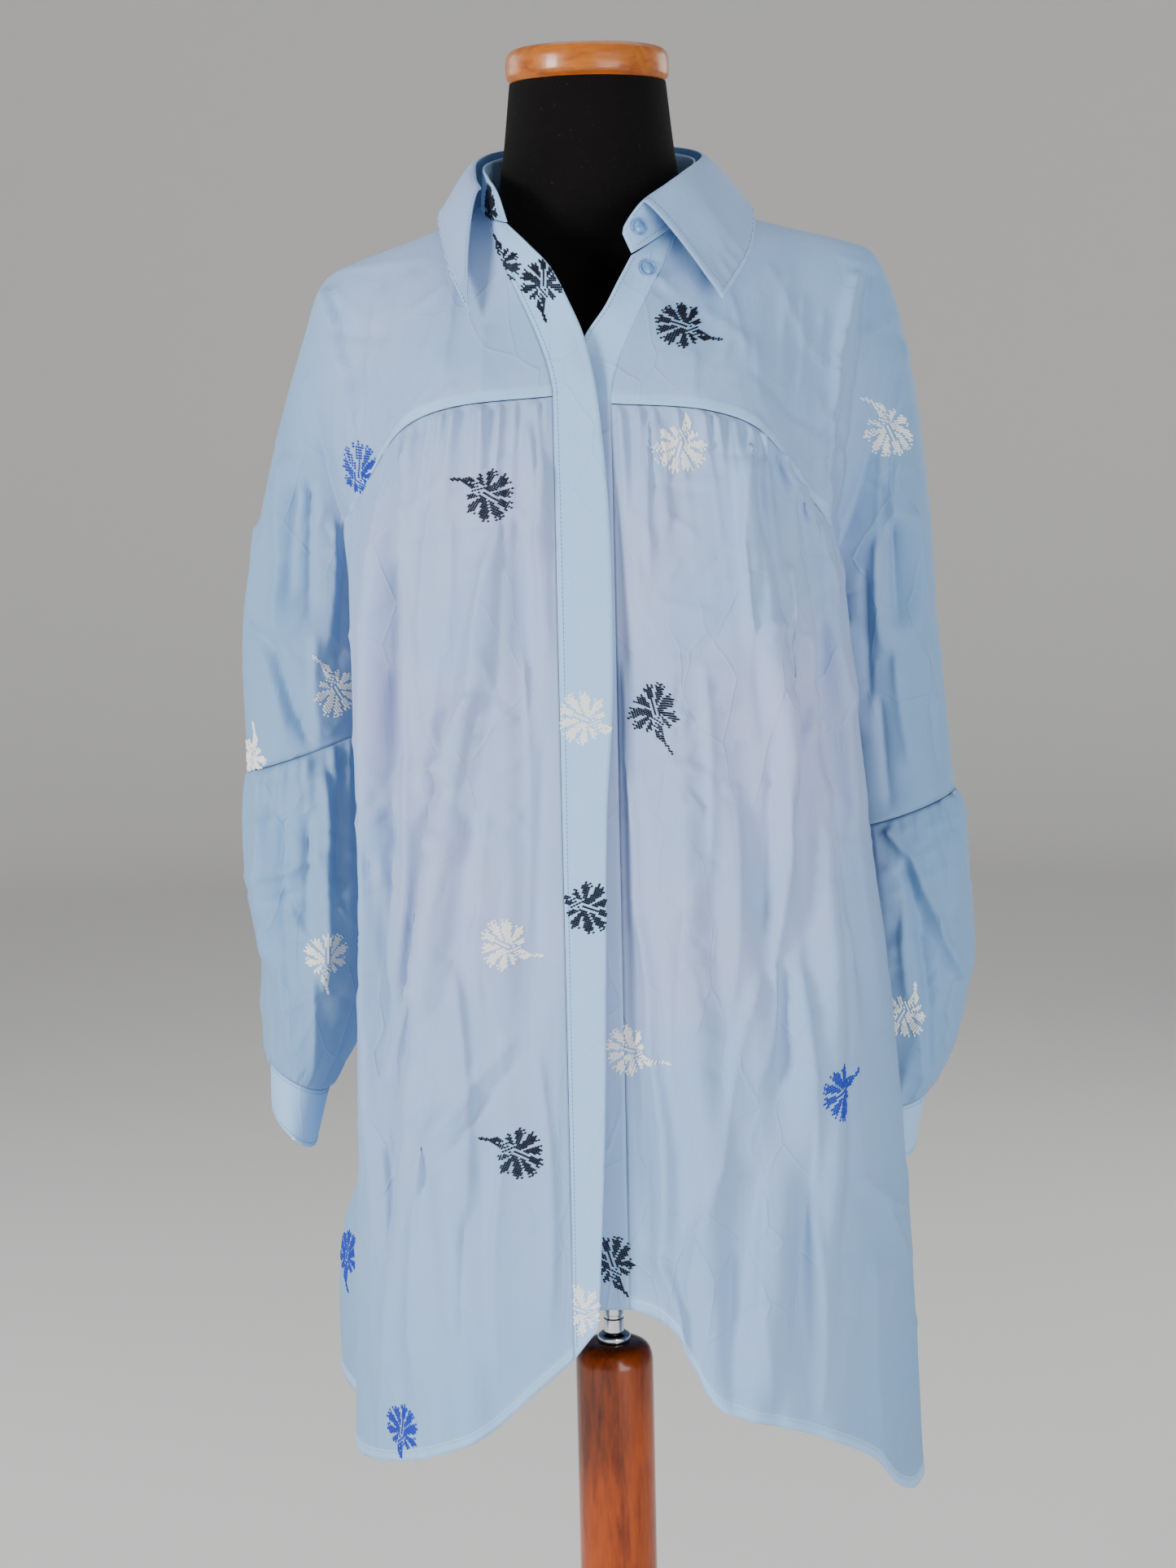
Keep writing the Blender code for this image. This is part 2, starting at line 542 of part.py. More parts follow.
def back_panel(name):
    columns = 2 * BACK_GATHERS
    us = [-1 + 0.0006 + (2 - 0.0012) * k / columns for k in range(columns + 1)]

    def point(i, u, j, v):
        side = LEFT if u > 0 else RIGHT
        place = abs(u + 0.30 / columns * math.sin(2.3 * i) * (0 < i < columns and i != columns // 2))
        wave = (1 if i % 2 else -1) * (0.75 + 0.35 * math.sin(1.3 * i)) * (0 < i < columns)
        return panel_point(side, True, place, j, wave)

    return sheet(name, us, BODY_SHARES, point, flip=False)


def front_yoke(side, name):
    def point(i, u, j, v):
        return yoke(side, False, u, v)

    return sheet(name, YOKE_PLACES, YOKE_RISE, point, flip=side == RIGHT)


def back_yoke(name):
    both = [-place for place in reversed(YOKE_PLACES)] + list(YOKE_PLACES[1:])

    def point(i, u, j, v):
        side = LEFT if u > 0 else RIGHT
        return yoke(side, True, abs(u), v)

    return sheet(name, both, YOKE_RISE, point, flip=True)


def sleeve_turn(i, columns):
    """The place of a column round a sleeve, unevenly spaced as gathers are."""
    return (i + 0.2 * math.sin(2.7 * i) * (0 < i < columns)) / columns


def lower_sleeve(side, name):
    columns = 2 * SLEEVE_GATHERS
    rows = LOWER_SLEEVE[side]
    downs = (0.0015, 0.02, 0.07, 0.16, 0.28, 0.42, 0.56, 0.70, 0.82, 0.91, 0.965, 0.9985)
    length = 0.24

    def point(i, u, j, v):
        turn = sleeve_turn(i, columns)
        here = loop(rows, v, turn)
        step = loop(rows, v, turn + 0.01) - loop(rows, v, turn - 0.01)
        out = step.cross(Vector((0, 0, 1))).normalized() * side
        near_top, near_low = v * length, (1 - v) * length
        high = min(1.0, near_top / 0.010) * math.exp(-near_top / SLEEVE_GATHER_LONG)
        high += 0.8 * min(1.0, near_low / 0.010) * math.exp(-near_low / 0.03)
        wave = (1 if i % 2 else -1) * (0.8 + 0.3 * math.sin(1.9 * (i % columns)))
        return here + out * (SLEEVE_GATHER_HIGH * high * wave)

    us = [k / columns for k in range(columns + 1)]
    return sheet(name, us, downs, point, flip=side == RIGHT, ring=True)


def cuff(side, name):
    columns = 2 * SLEEVE_GATHERS

    def point(i, u, j, v):
        return loop(CUFF[side], v, sleeve_turn(i, columns))

    us = [k / columns for k in range(columns + 1)]
    return sheet(name, us, (0.012, 0.5, 1.0), point, thick=PLACKET_WALL, flip=side == RIGHT, ring=True)


def front_line(side, way):
    """A point of the front's straight edge: way runs from 0 at the neck, past 1 at the yoke seam, to 2."""
    if way < 1:
        return yoke(side, False, 0.0, 1 - way)
    top, low = at(FRONT_SEAM[side], 0.0)[0], at(FRONT_HEM[side], 0.0)[0]
    return body(side, False, 0.0, top - (top - low) * (way - 1))


def strip(side, name, edge_rows, thick):
    """The placket or the band: a strip beside the front's edge, out to its own free edge."""
    ways = [1 - rise for rise in reversed(YOKE_RISE)] + [1 + share for share in BODY_SHARES[1:]]

    def point(i, u, j, v):
        line = front_line(side, v)
        edge = Vector(at(edge_rows, line.z))
        across = edge - line
        more, end = STRIP_OFF_MORE
        start = line + across.normalized() * SEAM_GAP * (STRIP_OFF + more * max(0.0, end - v))
        return start.lerp(edge, u)

    return sheet(name, (0.0, 0.5, 1.0), ways, point, thick=thick, flip=side == RIGHT)


def stand():
    places = [k / 24 for k in range(25)]

    def point(i, u, j, v):
        nx, ny, nz, tx, ty, tz = at(STAND, u)
        low, high = Vector((nx, ny, nz)), Vector((tx, ty, tz))
        edge = min(u, 1 - u) / 0.06
        if edge < 1:
            inset = 0.30 * (1 - math.sqrt(max(0.0, 1 - (1 - edge) ** 2)))
            v = v * (1 - inset)
        return low.lerp(high, v)

    return sheet("collar_stand", places, (0.0, 0.5, 1.0), point, flip=True)


def leaf_point(u, v):
    rx, ry, rz, ox, oy, oz, off = at(LEAF, u)
    roll, edge = Vector((rx * ROLL_IN, ry * ROLL_IN, rz)), Vector((ox, oy, oz))
    away = Vector((roll.x, roll.y, 0)).normalized() * off
    rise = Vector((0, 0, 0.4 * off))
    return bezier(roll, roll + away + rise, roll.lerp(edge, 0.6) + away, edge, v)


def leaf():
    places = [k / 26 for k in range(27)]

    def point(i, u, j, v):
        return leaf_point(u, v)

    return sheet("collar", places, (0.0, 0.08, 0.3, 0.55, 0.8, 1.0), point, flip=False)


def button(name, centre, out):
    """A turned button with a raised rim, lying on the cloth."""
    profile = (
        (0.0, 0.0),
        (BUTTON_RADIUS * 0.80, 0.0),
        (BUTTON_RADIUS, BUTTON_THICK * 0.35),
        (BUTTON_RADIUS, BUTTON_THICK * 0.75),
        (BUTTON_RADIUS - BUTTON_RIM * 0.5, BUTTON_THICK),
        (BUTTON_RADIUS - BUTTON_RIM, BUTTON_THICK - BUTTON_DISH * 0.4),
        (BUTTON_RADIUS - BUTTON_RIM * 1.6, BUTTON_THICK - BUTTON_DISH),
        (0.0, BUTTON_THICK - BUTTON_DISH),
    )
    made = turned(name, profile, "button", 14)
    made.location = centre + out * TOUCH
    made.rotation_mode = "QUATERNION"
    made.rotation_quaternion = out.to_track_quat("Z", "Y")
    return made


def turned(name, profile, slot, steps=32):
    """A turned piece from its profile of radius and height, from the bottom up."""
    bm = bmesh.new()
    verts = [bm.verts.new((radius, 0, height)) for radius, height in profile]
    for a, b in zip(verts, verts[1:]):
        bm.edges.new((a, b))
    bmesh.ops.spin(
        bm, geom=bm.verts[:] + bm.edges[:], cent=(0, 0, 0), axis=(0, 0, 1), angle=math.tau, steps=steps, use_merge=True
    )
    bmesh.ops.remove_doubles(bm, verts=bm.verts, dist=1e-6)
    bmesh.ops.recalc_face_normals(bm, faces=bm.faces)
    mesh = bpy.data.meshes.new(name)
    bm.to_mesh(mesh)
    bm.free()
    mesh.materials.append(material(slot))
    mesh.shade_smooth()
    return bpy.data.objects.new(name, mesh)


def form():
    """The covered torso and neck, lofted through level rings, closed at both ends."""
    around = 26
    mesh = bpy.data.meshes.new("form_torso")
    bm = bmesh.new()
    bmesh.ops.create_grid(bm, x_segments=around, y_segments=len(FORM) - 1, size=0.5)
    for vert in bm.verts:
        i = round((vert.co.x + 0.5) * around) % around
        z, wide, deep, middle = FORM[round((vert.co.y + 0.5) * (len(FORM) - 1))]
        angle = math.tau * i / around
        vert.co = (wide * math.sin(angle), middle - deep * math.cos(angle), z)
    bmesh.ops.remove_doubles(bm, verts=bm.verts, dist=1e-6)
    bmesh.ops.holes_fill(bm, edges=bm.edges, sides=around)
    bmesh.ops.recalc_face_normals(bm, faces=bm.faces)
    bm.to_mesh(mesh)
    bm.free()
    mesh.materials.append(material("form_cover"))
    mesh.shade_smooth()
    return bpy.data.objects.new("form_torso", mesh)


def stand_pieces():
    cap_top = CAP_BOTTOM + CAP_THICK
    cap = (
        (0.0, CAP_BOTTOM),
        (CAP_RADIUS - 0.004, CAP_BOTTOM),
        (CAP_RADIUS - 0.001, CAP_BOTTOM + 0.003),
        (CAP_RADIUS, CAP_BOTTOM + 0.011),
        (CAP_RADIUS - 0.0006, cap_top - 0.005),
        (CAP_RADIUS - 0.003, cap_top - 0.0012),
        (CAP_RADIUS - 0.007, cap_top),
        (0.0, cap_top),
    )
    base = (
        (0.0, 0.0),
        (BASE_RADIUS, 0.0),
        (BASE_RADIUS, BASE_THICK - 0.010),
        (BASE_RADIUS - 0.003, BASE_THICK - 0.003),
        (BASE_RADIUS - 0.010, BASE_THICK),
        (0.0, BASE_THICK),
    )
    foot = BASE_THICK + TOUCH
    pole = (
        (0.0, foot),
        (POLE_RADIUS, foot),
        (POLE_RADIUS, POLE_TOP - POLE_SHOULDER),
        (POLE_RADIUS - 0.003, POLE_TOP - 0.003),
        (POLE_RADIUS - 0.010, POLE_TOP),
        (0.0, POLE_TOP),
    )
    stem = (
        (0.0, POLE_TOP + TOUCH),
        (STEM_RADIUS, POLE_TOP + TOUCH),
        (STEM_RADIUS, FORM_BOTTOM - TOUCH),
        (0.0, FORM_BOTTOM - TOUCH),
    )
    return [
        turned("base", base, "pole_wood", 32),
        turned("pole", pole, "pole_wood", 28),
        turned("stem", stem, "steel", 16),
        turned("neck_cap", cap, "cap_wood", 26),
        form(),
    ]


def buttons():
    place, across = BUTTON_ON_STAND
    nx, ny, nz, tx, ty, tz = at(STAND, place)
    ax, ay, az, bx, by, bz = at(STAND, place - 0.01)
    low, high = Vector((nx, ny, nz)), Vector((tx, ty, tz))
    on_stand = low.lerp(high, across)
    along = on_stand - Vector((ax, ay, az)).lerp(Vector((bx, by, bz)), across)
    out = along.cross(high - low).normalized()
    out = out if out.y < 0 else -out
    height, share = BUTTON_ON_BAND
    line = min((front_line(LEFT, k / 200) for k in range(200)), key=lambda p: abs(p.z - height))
    edge = Vector(at(BAND_EDGE, line.z))
    on_band = line.lerp(edge, share)
    up = front_line(LEFT, 0.1) - line
    face = (edge - line).cross(up).normalized()
    face = face if face.y < 0 else -face
    return [
        button("button_top", on_stand, out),
        button("button_second", on_band + face * 0.0012, face),
    ]


def build():
    clear_scene()
    home = bpy.data.collections.new("embroidered_shirt_on_form")
    bpy.context.scene.collection.children.link(home)
    pieces = stand_pieces()
    pieces += [
        front_yoke(RIGHT, "front_yoke_right"),
        front_yoke(LEFT, "front_yoke_left"),
        back_yoke("back_yoke"),
        front_panel(RIGHT, "front_panel_right"),
        front_panel(LEFT, "front_panel_left"),
        back_panel("back_panel"),
        lower_sleeve(RIGHT, "sleeve_lower_right"),
        lower_sleeve(LEFT, "sleeve_lower_left"),
        cuff(RIGHT, "cuff_right"),
        cuff(LEFT, "cuff_left"),
        strip(RIGHT, "placket_right", PLACKET_EDGE, PLACKET_WALL),
        strip(LEFT, "button_band_left", BAND_EDGE, WALL),
        stand(),
        leaf(),
    ]
    pieces += buttons()
    for piece in pieces:
        home.objects.link(piece)


build()
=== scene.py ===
"""The look of the embroidered cotton shirt on its dress form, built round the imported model.

Metres, +Z up, the shirt's front faces -Y and the wearer's right side is at -X. Each cut piece is a grid of
points worked out from the same sections as its solid, with its folds, gathers and creases, and gets its
thickness from a Solidify modifier.
"""

import math

import bmesh
import bpy
import numpy as np
from mathutils import Matrix, Vector


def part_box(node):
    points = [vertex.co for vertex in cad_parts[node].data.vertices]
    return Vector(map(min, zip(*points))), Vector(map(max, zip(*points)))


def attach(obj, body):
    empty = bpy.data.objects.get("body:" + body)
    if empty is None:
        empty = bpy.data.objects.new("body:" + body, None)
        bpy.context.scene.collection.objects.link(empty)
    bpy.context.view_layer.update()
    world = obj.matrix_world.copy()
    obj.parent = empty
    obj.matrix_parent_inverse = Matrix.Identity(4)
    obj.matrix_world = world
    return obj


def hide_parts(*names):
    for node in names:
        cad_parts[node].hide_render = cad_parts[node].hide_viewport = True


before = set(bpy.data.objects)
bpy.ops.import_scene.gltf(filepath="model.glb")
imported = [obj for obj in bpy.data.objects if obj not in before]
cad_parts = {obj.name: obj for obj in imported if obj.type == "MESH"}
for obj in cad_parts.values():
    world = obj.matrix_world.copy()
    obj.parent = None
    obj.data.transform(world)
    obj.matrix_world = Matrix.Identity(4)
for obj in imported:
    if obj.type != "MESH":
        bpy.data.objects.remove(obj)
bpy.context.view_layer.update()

# Cloth: the way between two pieces at a seam, the wall of one layer and of two
SEAM_GAP = 0.0003
CLOTH = 0.0007
DOUBLE_CLOTH = 0.0014
# How far doubled cloth stands up from one layer, and how softly its edge shows
DOUBLED_RISE, DOUBLED_SOFT = 0.0004, 0.0012
# Widths of the doubled cloth along the yoke seam and the hem
SEAM_BAND, HEM_BAND = 0.0085, 0.009
# Place of the elbow seam along a yoke
ELBOW = 2.0

RIGHT, LEFT = -1, 1

# Camera, in the photograph's own pixels
PHOTO_TALL = 1927
CAMERA_FOCUS = 3340.0
CAMERA_SPOT = (-0.011, -2.06, 1.302)
CAMERA_DOWN, CAMERA_ROLL = 8.24, 1.266

# Stand and form
BASE_RADIUS = 0.190
POLE_RADIUS = 0.0305
STEM_RADIUS = 0.008
CAP_RADIUS = 0.0605

# Level sections of the body, one row for each height. Columns: height, centre front y, front corner x and y,
# side seam x and y, back corner x and y, centre back y. The x values are distances from the axis.
BODY = {
    RIGHT: (
        (1.320, -0.1130, 0.148, -0.088, 0.176, -0.012, 0.150, 0.072, 0.100),
        (1.234, -0.1330, 0.174, -0.054, 0.176, 0.002, 0.166, 0.070, 0.118),
        (1.165, -0.1410, 0.181, -0.058, 0.171, 0.010, 0.166, 0.072, 0.126),
        (1.090, -0.1450, 0.183, -0.062, 0.158, 0.008, 0.158, 0.086, 0.131),
        (0.980, -0.1490, 0.184, -0.064, 0.152, 0.008, 0.156, 0.098, 0.136),
        (0.860, -0.1520, 0.187, -0.066, 0.155, 0.008, 0.162, 0.104, 0.140),
        (0.740, -0.1540, 0.190, -0.067, 0.168, 0.008, 0.176, 0.098, 0.145),
        (0.640, -0.1560, 0.194, -0.065, 0.192, 0.006, 0.214, 0.074, 0.150),
        (0.440, -0.1590, 0.199, -0.061, 0.200, 0.004, 0.216, 0.066, 0.156),
    ),
    LEFT: (
        (1.320, -0.1130, 0.128, -0.092, 0.166, -0.010, 0.150, 0.072, 0.100),
        (1.250, -0.1300, 0.150, -0.074, 0.170, -0.004, 0.162, 0.070, 0.115),
        (1.165, -0.1410, 0.174, -0.050, 0.172, 0.010, 0.167, 0.072, 0.126),
        (1.090, -0.1450, 0.185, -0.050, 0.161, 0.008, 0.160, 0.086, 0.131),
        (0.980, -0.1490, 0.197, -0.050, 0.158, 0.008, 0.160, 0.098, 0.136),
        (0.860, -0.1520, 0.214, -0.046, 0.166, 0.006, 0.166, 0.104, 0.140),
        (0.740, -0.1540, 0.224, -0.040, 0.176, 0.008, 0.180, 0.098, 0.145),
        (0.660, -0.1550, 0.230, -0.034, 0.196, 0.012, 0.196, 0.092, 0.150),
        (0.440, -0.1580, 0.238, -0.026, 0.232, 0.020, 0.222, 0.084, 0.156),
    ),
}
# Where the body's front edge starts beside the centre line: the placket's stitching and the band's.
FRONT_START = {RIGHT: -0.030, LEFT: 0.011}
MID_SHARE, MID_FALL = 0.60, 0.14

# Height of the yoke seam by the share of the way from the centre to the underarm. Columns: share, height.
FRONT_SEAM = {
    RIGHT: (
        (0.0, 1.298), (0.30, 1.293), (0.45, 1.285), (0.56, 1.271), (0.66, 1.247), (0.78, 1.218), (1.0, 1.165),
    ),
    LEFT: (
        (0.0, 1.292), (0.28, 1.287), (0.44, 1.277), (0.54, 1.261), (0.64, 1.234), (0.78, 1.204), (1.0, 1.165),
    ),
}
BACK_SEAM = ((0.0, 1.300), (0.30, 1.298), (0.50, 1.288), (0.66, 1.262), (0.82, 1.222), (1.0, 1.165))

# Height of the hem by the share of the way from the centre to the side seam. Columns: share, height.
FRONT_HEM = {
    RIGHT: (
        (0.0, 0.602), (0.10, 0.578), (0.22, 0.548), (0.40, 0.523), (0.66, 0.500), (0.85, 0.497), (1.0, 0.506),
    ),
    LEFT: (
        (0.0, 0.634), (0.10, 0.622), (0.17, 0.572), (0.24, 0.556), (0.45, 0.528), (0.60, 0.498),
        (0.72, 0.460), (0.84, 0.448), (1.0, 0.470),
    ),
}
BACK_HEM = {
    RIGHT: ((0.0, 0.590), (0.30, 0.575), (0.60, 0.545), (0.82, 0.522), (1.0, 0.506)),
    LEFT: ((0.0, 0.590), (0.30, 0.572), (0.60, 0.530), (0.82, 0.490), (1.0, 0.470)),
}

# Folds that hang down the body. Columns: share of the way round at the top and bottom of the fold, height of
# its top and bottom, half width as a share, and how far it stands out (negative for a valley).
FRONT_FOLDS = {
    RIGHT: (
        (0.50, 0.55, 1.275, 0.870, 0.060, -0.0150),
        (0.59, 0.60, 1.250, 0.780, 0.055, 0.0090),
        (0.68, 0.66, 1.180, 0.800, 0.050, -0.0100),
        (0.17, 0.45, 1.200, 0.740, 0.065, 0.0080),
        (0.27, 0.55, 1.130, 0.700, 0.065, -0.0070),
        (0.36, 0.28, 1.010, 0.560, 0.090, 0.0075),
        (0.08, 0.10, 1.230, 0.900, 0.060, -0.0050),
    ),
    LEFT: (
        (0.00, 0.00, 1.240, 0.560, 0.110, -0.0130),
        (0.13, 0.19, 1.160, 0.500, 0.065, 0.0090),
        (0.40, 0.42, 1.275, 1.040, 0.055, 0.0080),
        (0.55, 0.47, 1.230, 0.740, 0.060, 0.0120),
        (0.63, 0.62, 1.220, 0.900, 0.055, -0.0100),
        (0.49, 0.25, 0.930, 0.560, 0.085, 0.0085),
        (0.30, 0.40, 1.100, 0.620, 0.075, -0.0070),
    ),
}
BACK_FOLDS = {
    RIGHT: (
        (0.12, 0.16, 1.270, 0.600, 0.080, 0.0110),
        (0.34, 0.38, 1.260, 0.560, 0.080, -0.0120),
        (0.56, 0.58, 1.230, 0.540, 0.080, 0.0130),
        (0.78, 0.76, 1.150, 0.620, 0.070, -0.0100),
    ),
    LEFT: (
        (0.10, 0.08, 1.270, 0.640, 0.080, -0.0090),
        (0.30, 0.28, 1.260, 0.560, 0.080, 0.0120),
        (0.52, 0.55, 1.230, 0.540, 0.080, -0.0120),
        (0.74, 0.72, 1.180, 0.580, 0.070, 0.0110),
    ),
}

# How far the underarm seam's two edges stand apart. Columns: place, distance of each from the seam line.
UNDERARM_GAP = (
    (1.00, 0.0019), (1.07, 0.0017), (1.18, 0.0013), (1.35, 0.0007), (1.55, 0.0004), (2.0, 0.0003),
)
# Where the yoke's seam on the body ends, short of the side seam
SEAM_END = 0.992
# Neck, shoulder and overarm line. Columns: place along the piece (0 is the centre front edge, 1 is over the
# underarm, 2 is the elbow seam), x, y, z, and the pull that shapes the cloth in front of the line.
TOP_LINE = {
    RIGHT: (
        (0.00, -0.0740, -0.046, 1.4275, -0.004, -0.022, -0.020),
        (0.20, -0.0790, -0.020, 1.4345, -0.020, -0.020, -0.008),
        (0.38, -0.0800, 0.003, 1.4385, -0.018, -0.030, 0.000),
        (0.52, -0.1070, 0.003, 1.4245, -0.004, -0.046, 0.000),
        (0.66, -0.1500, 0.004, 1.4090, 0.000, -0.052, 0.000),
        (0.80, -0.1840, 0.007, 1.3965, 0.000, -0.053, 0.000),
        (0.90, -0.2020, 0.012, 1.3840, 0.000, -0.050, 0.000),
        (1.00, -0.2170, 0.020, 1.3480, 0.000, -0.050, 0.000),
        (1.20, -0.2380, 0.029, 1.2850, 0.000, -0.056, 0.000),
        (1.45, -0.2570, 0.034, 1.2120, 0.000, -0.062, 0.000),
        (1.70, -0.2740, 0.035, 1.1300, 0.000, -0.064, 0.000),
        (ELBOW, -0.2750, 0.035, 1.0160, 0.000, -0.062, 0.000),
    ),
    LEFT: (
        (0.00, 0.0600, -0.058, 1.4175, 0.002, -0.020, -0.022),
        (0.20, 0.0740, -0.028, 1.4310, 0.020, -0.020, -0.008),
        (0.38, 0.0805, 0.003, 1.4395, 0.018, -0.030, 0.000),
        (0.52, 0.1190, 0.003, 1.4265, 0.004, -0.046, 0.000),
        (0.66, 0.1560, 0.004, 1.4165, 0.000, -0.052, 0.000),
        (0.80, 0.1900, 0.007, 1.4080, 0.000, -0.053, 0.000),
        (0.90, 0.2120, 0.012, 1.3980, 0.000, -0.050, 0.000),
        (1.00, 0.2280, 0.020, 1.3640, 0.000, -0.050, 0.000),
        (1.20, 0.2440, 0.029, 1.3000, 0.000, -0.056, 0.000),
        (1.45, 0.2550, 0.034, 1.2120, 0.000, -0.062, 0.000),
        (1.70, 0.2620, 0.035, 1.1150, 0.000, -0.064, 0.000),
        (ELBOW, 0.2740, 0.035, 0.9910, 0.000, -0.066, 0.000),
    ),
}
# Back neck line, from the centre back to the shoulder. Columns: place, x, y, z and the pull.
BACK_NECK = (
    (0.00, 0.0000, 0.0620, 1.4440, 0.0, 0.026, -0.018),
    (0.20, 0.0520, 0.0470, 1.4440, 0.012, 0.030, -0.010),
    (0.38, 0.0800, 0.0030, 1.4385, 0.018, 0.030, 0.000),
)
# Underarm line of the upper sleeve. Columns: place, x, y, z and the pull in front of it.
UNDER_LINE = {
    RIGHT: (
        (1.00, -0.1710, 0.010, 1.1650, -0.026, -0.024, 0.022),
        (1.25, -0.1790, 0.024, 1.1340, -0.010, -0.048, 0.004),
        (1.60, -0.1800, 0.033, 1.0930, 0.000, -0.062, 0.000),
        (ELBOW, -0.1780, 0.035, 1.0480, 0.000, -0.064, 0.000),
    ),
    LEFT: (
        (1.00, 0.1720, 0.010, 1.1650, 0.026, -0.024, 0.022),
        (1.25, 0.1810, 0.024, 1.1260, 0.010, -0.048, 0.004),
        (1.60, 0.1860, 0.033, 1.0500, 0.000, -0.062, 0.000),
        (ELBOW, 0.1860, 0.035, 0.9620, 0.000, -0.066, 0.000),
    ),
}
# How far the yoke carries on in the body's slope before it turns up to the shoulder
SEAM_PULL = 0.042

# Lower sleeves. Columns: share of the way down, outer x, y, z, inner x, y, z, depth in front and behind.
LOWER_SLEEVE = {
    RIGHT: (
        (0.00, -0.2750, 0.035, 1.0160, -0.1780, 0.035, 1.0480, 0.048, 0.048),
        (0.18, -0.2790, 0.035, 0.9700, -0.1750, 0.035, 0.9980, 0.060, 0.057),
        (0.40, -0.2775, 0.035, 0.9150, -0.1740, 0.035, 0.9350, 0.062, 0.058),
        (0.62, -0.2700, 0.035, 0.8650, -0.1780, 0.035, 0.8750, 0.057, 0.055),
        (0.84, -0.2695, 0.035, 0.8170, -0.1940, 0.035, 0.8120, 0.050, 0.050),
        (1.00, -0.2660, 0.035, 0.7880, -0.2200, 0.031, 0.7640, 0.042, 0.044),
    ),
    LEFT: (
        (0.00, 0.2740, 0.035, 0.9910, 0.1860, 0.035, 0.9620, 0.050, 0.050),
        (0.18, 0.2830, 0.036, 0.9440, 0.1840, 0.036, 0.9250, 0.062, 0.057),
        (0.42, 0.2895, 0.038, 0.8760, 0.1860, 0.038, 0.8650, 0.062, 0.057),
        (0.64, 0.2860, 0.040, 0.8320, 0.1900, 0.040, 0.8180, 0.056, 0.054),
        (0.84, 0.2740, 0.042, 0.7860, 0.1960, 0.042, 0.7740, 0.048, 0.048),
        (1.00, 0.2520, 0.044, 0.7480, 0.2020, 0.044, 0.7380, 0.040, 0.042),
    ),
}
CUFF = {
    RIGHT: (
        (0.00, -0.2660, 0.035, 0.7880, -0.2200, 0.031, 0.7640, 0.042, 0.044),
        (1.00, -0.2660, 0.033, 0.7520, -0.2320, 0.029, 0.7180, 0.042, 0.044),
    ),
    LEFT: (
        (0.00, 0.2520, 0.044, 0.7480, 0.2020, 0.044, 0.7380, 0.040, 0.042),
        (1.00, 0.2430, 0.045, 0.7030, 0.2050, 0.045, 0.6960, 0.040, 0.042),
    ),
}

# Free edges of the placket and of the band under it. Columns: height of the stitching line, x, y, z.
PLACKET_EDGE = (
    (1.4275, -0.0615, -0.0790, 1.4205),
    (1.408, -0.0460, -0.0880, 1.4060),
    (1.386, -0.0300, -0.0960, 1.3890),
    (1.362, -0.0160, -0.1040, 1.3620),
    (1.340, -0.0070, -0.1100, 1.3400),
    (1.300, 0.0010, -0.1240, 1.3020),
    (1.233, 0.0070, -0.1390, 1.2330),
    (1.165, 0.0090, -0.1455, 1.1650),
    (1.085, 0.0080, -0.1490, 1.0850),
    (1.000, 0.0020, -0.1530, 1.0020),
    (0.880, -0.0010, -0.1560, 0.8850),
    (0.740, -0.0050, -0.1580, 0.7550),
    (0.602, -0.0120, -0.1600, 0.6260),
)
BAND_EDGE = (
    (1.4175, 0.0285, -0.0890, 1.3965),
    (1.392, 0.0180, -0.0960, 1.3780),
    (1.372, 0.0080, -0.1000, 1.3600),
    (1.355, -0.0060, -0.1030, 1.3410),
    (1.315, -0.0180, -0.1080, 1.3120),
    (1.292, -0.0240, -0.1130, 1.2920),
    (1.233, -0.0250, -0.1250, 1.2330),
    (1.165, -0.0250, -0.1270, 1.1650),
    (1.000, -0.0250, -0.1350, 1.0000),
    (0.634, -0.0250, -0.1420, 0.6340),
)

# Collar stand. Columns: place from the wearer's right end to the left end, neck seam x, y, z, top edge
# x, y, z.
STAND = (
    (0.00, -0.0612, -0.0790, 1.4230, -0.0680, -0.0730, 1.4460),
    (0.12, -0.0740, -0.0460, 1.4292, -0.0745, -0.0470, 1.4560),
    (0.28, -0.0795, 0.0030, 1.4402, -0.0770, 0.0080, 1.4700),
    (0.40, -0.0530, 0.0480, 1.4452, -0.0505, 0.0465, 1.4800),
    (0.50, 0.0000, 0.0625, 1.4452, 0.0000, 0.0600, 1.4840),
    (0.60, 0.0530, 0.0480, 1.4452, 0.0520, 0.0465, 1.4800),
    (0.72, 0.0805, 0.0030, 1.4420, 0.0790, 0.0080, 1.4700),
    (0.86, 0.0600, -0.0580, 1.4200, 0.0580, -0.0560, 1.4500),
    (0.94, 0.0430, -0.0780, 1.4080, 0.0380, -0.0770, 1.4360),
    (1.00, 0.0285, -0.0890, 1.3990, 0.0200, -0.0870, 1.4180),
)
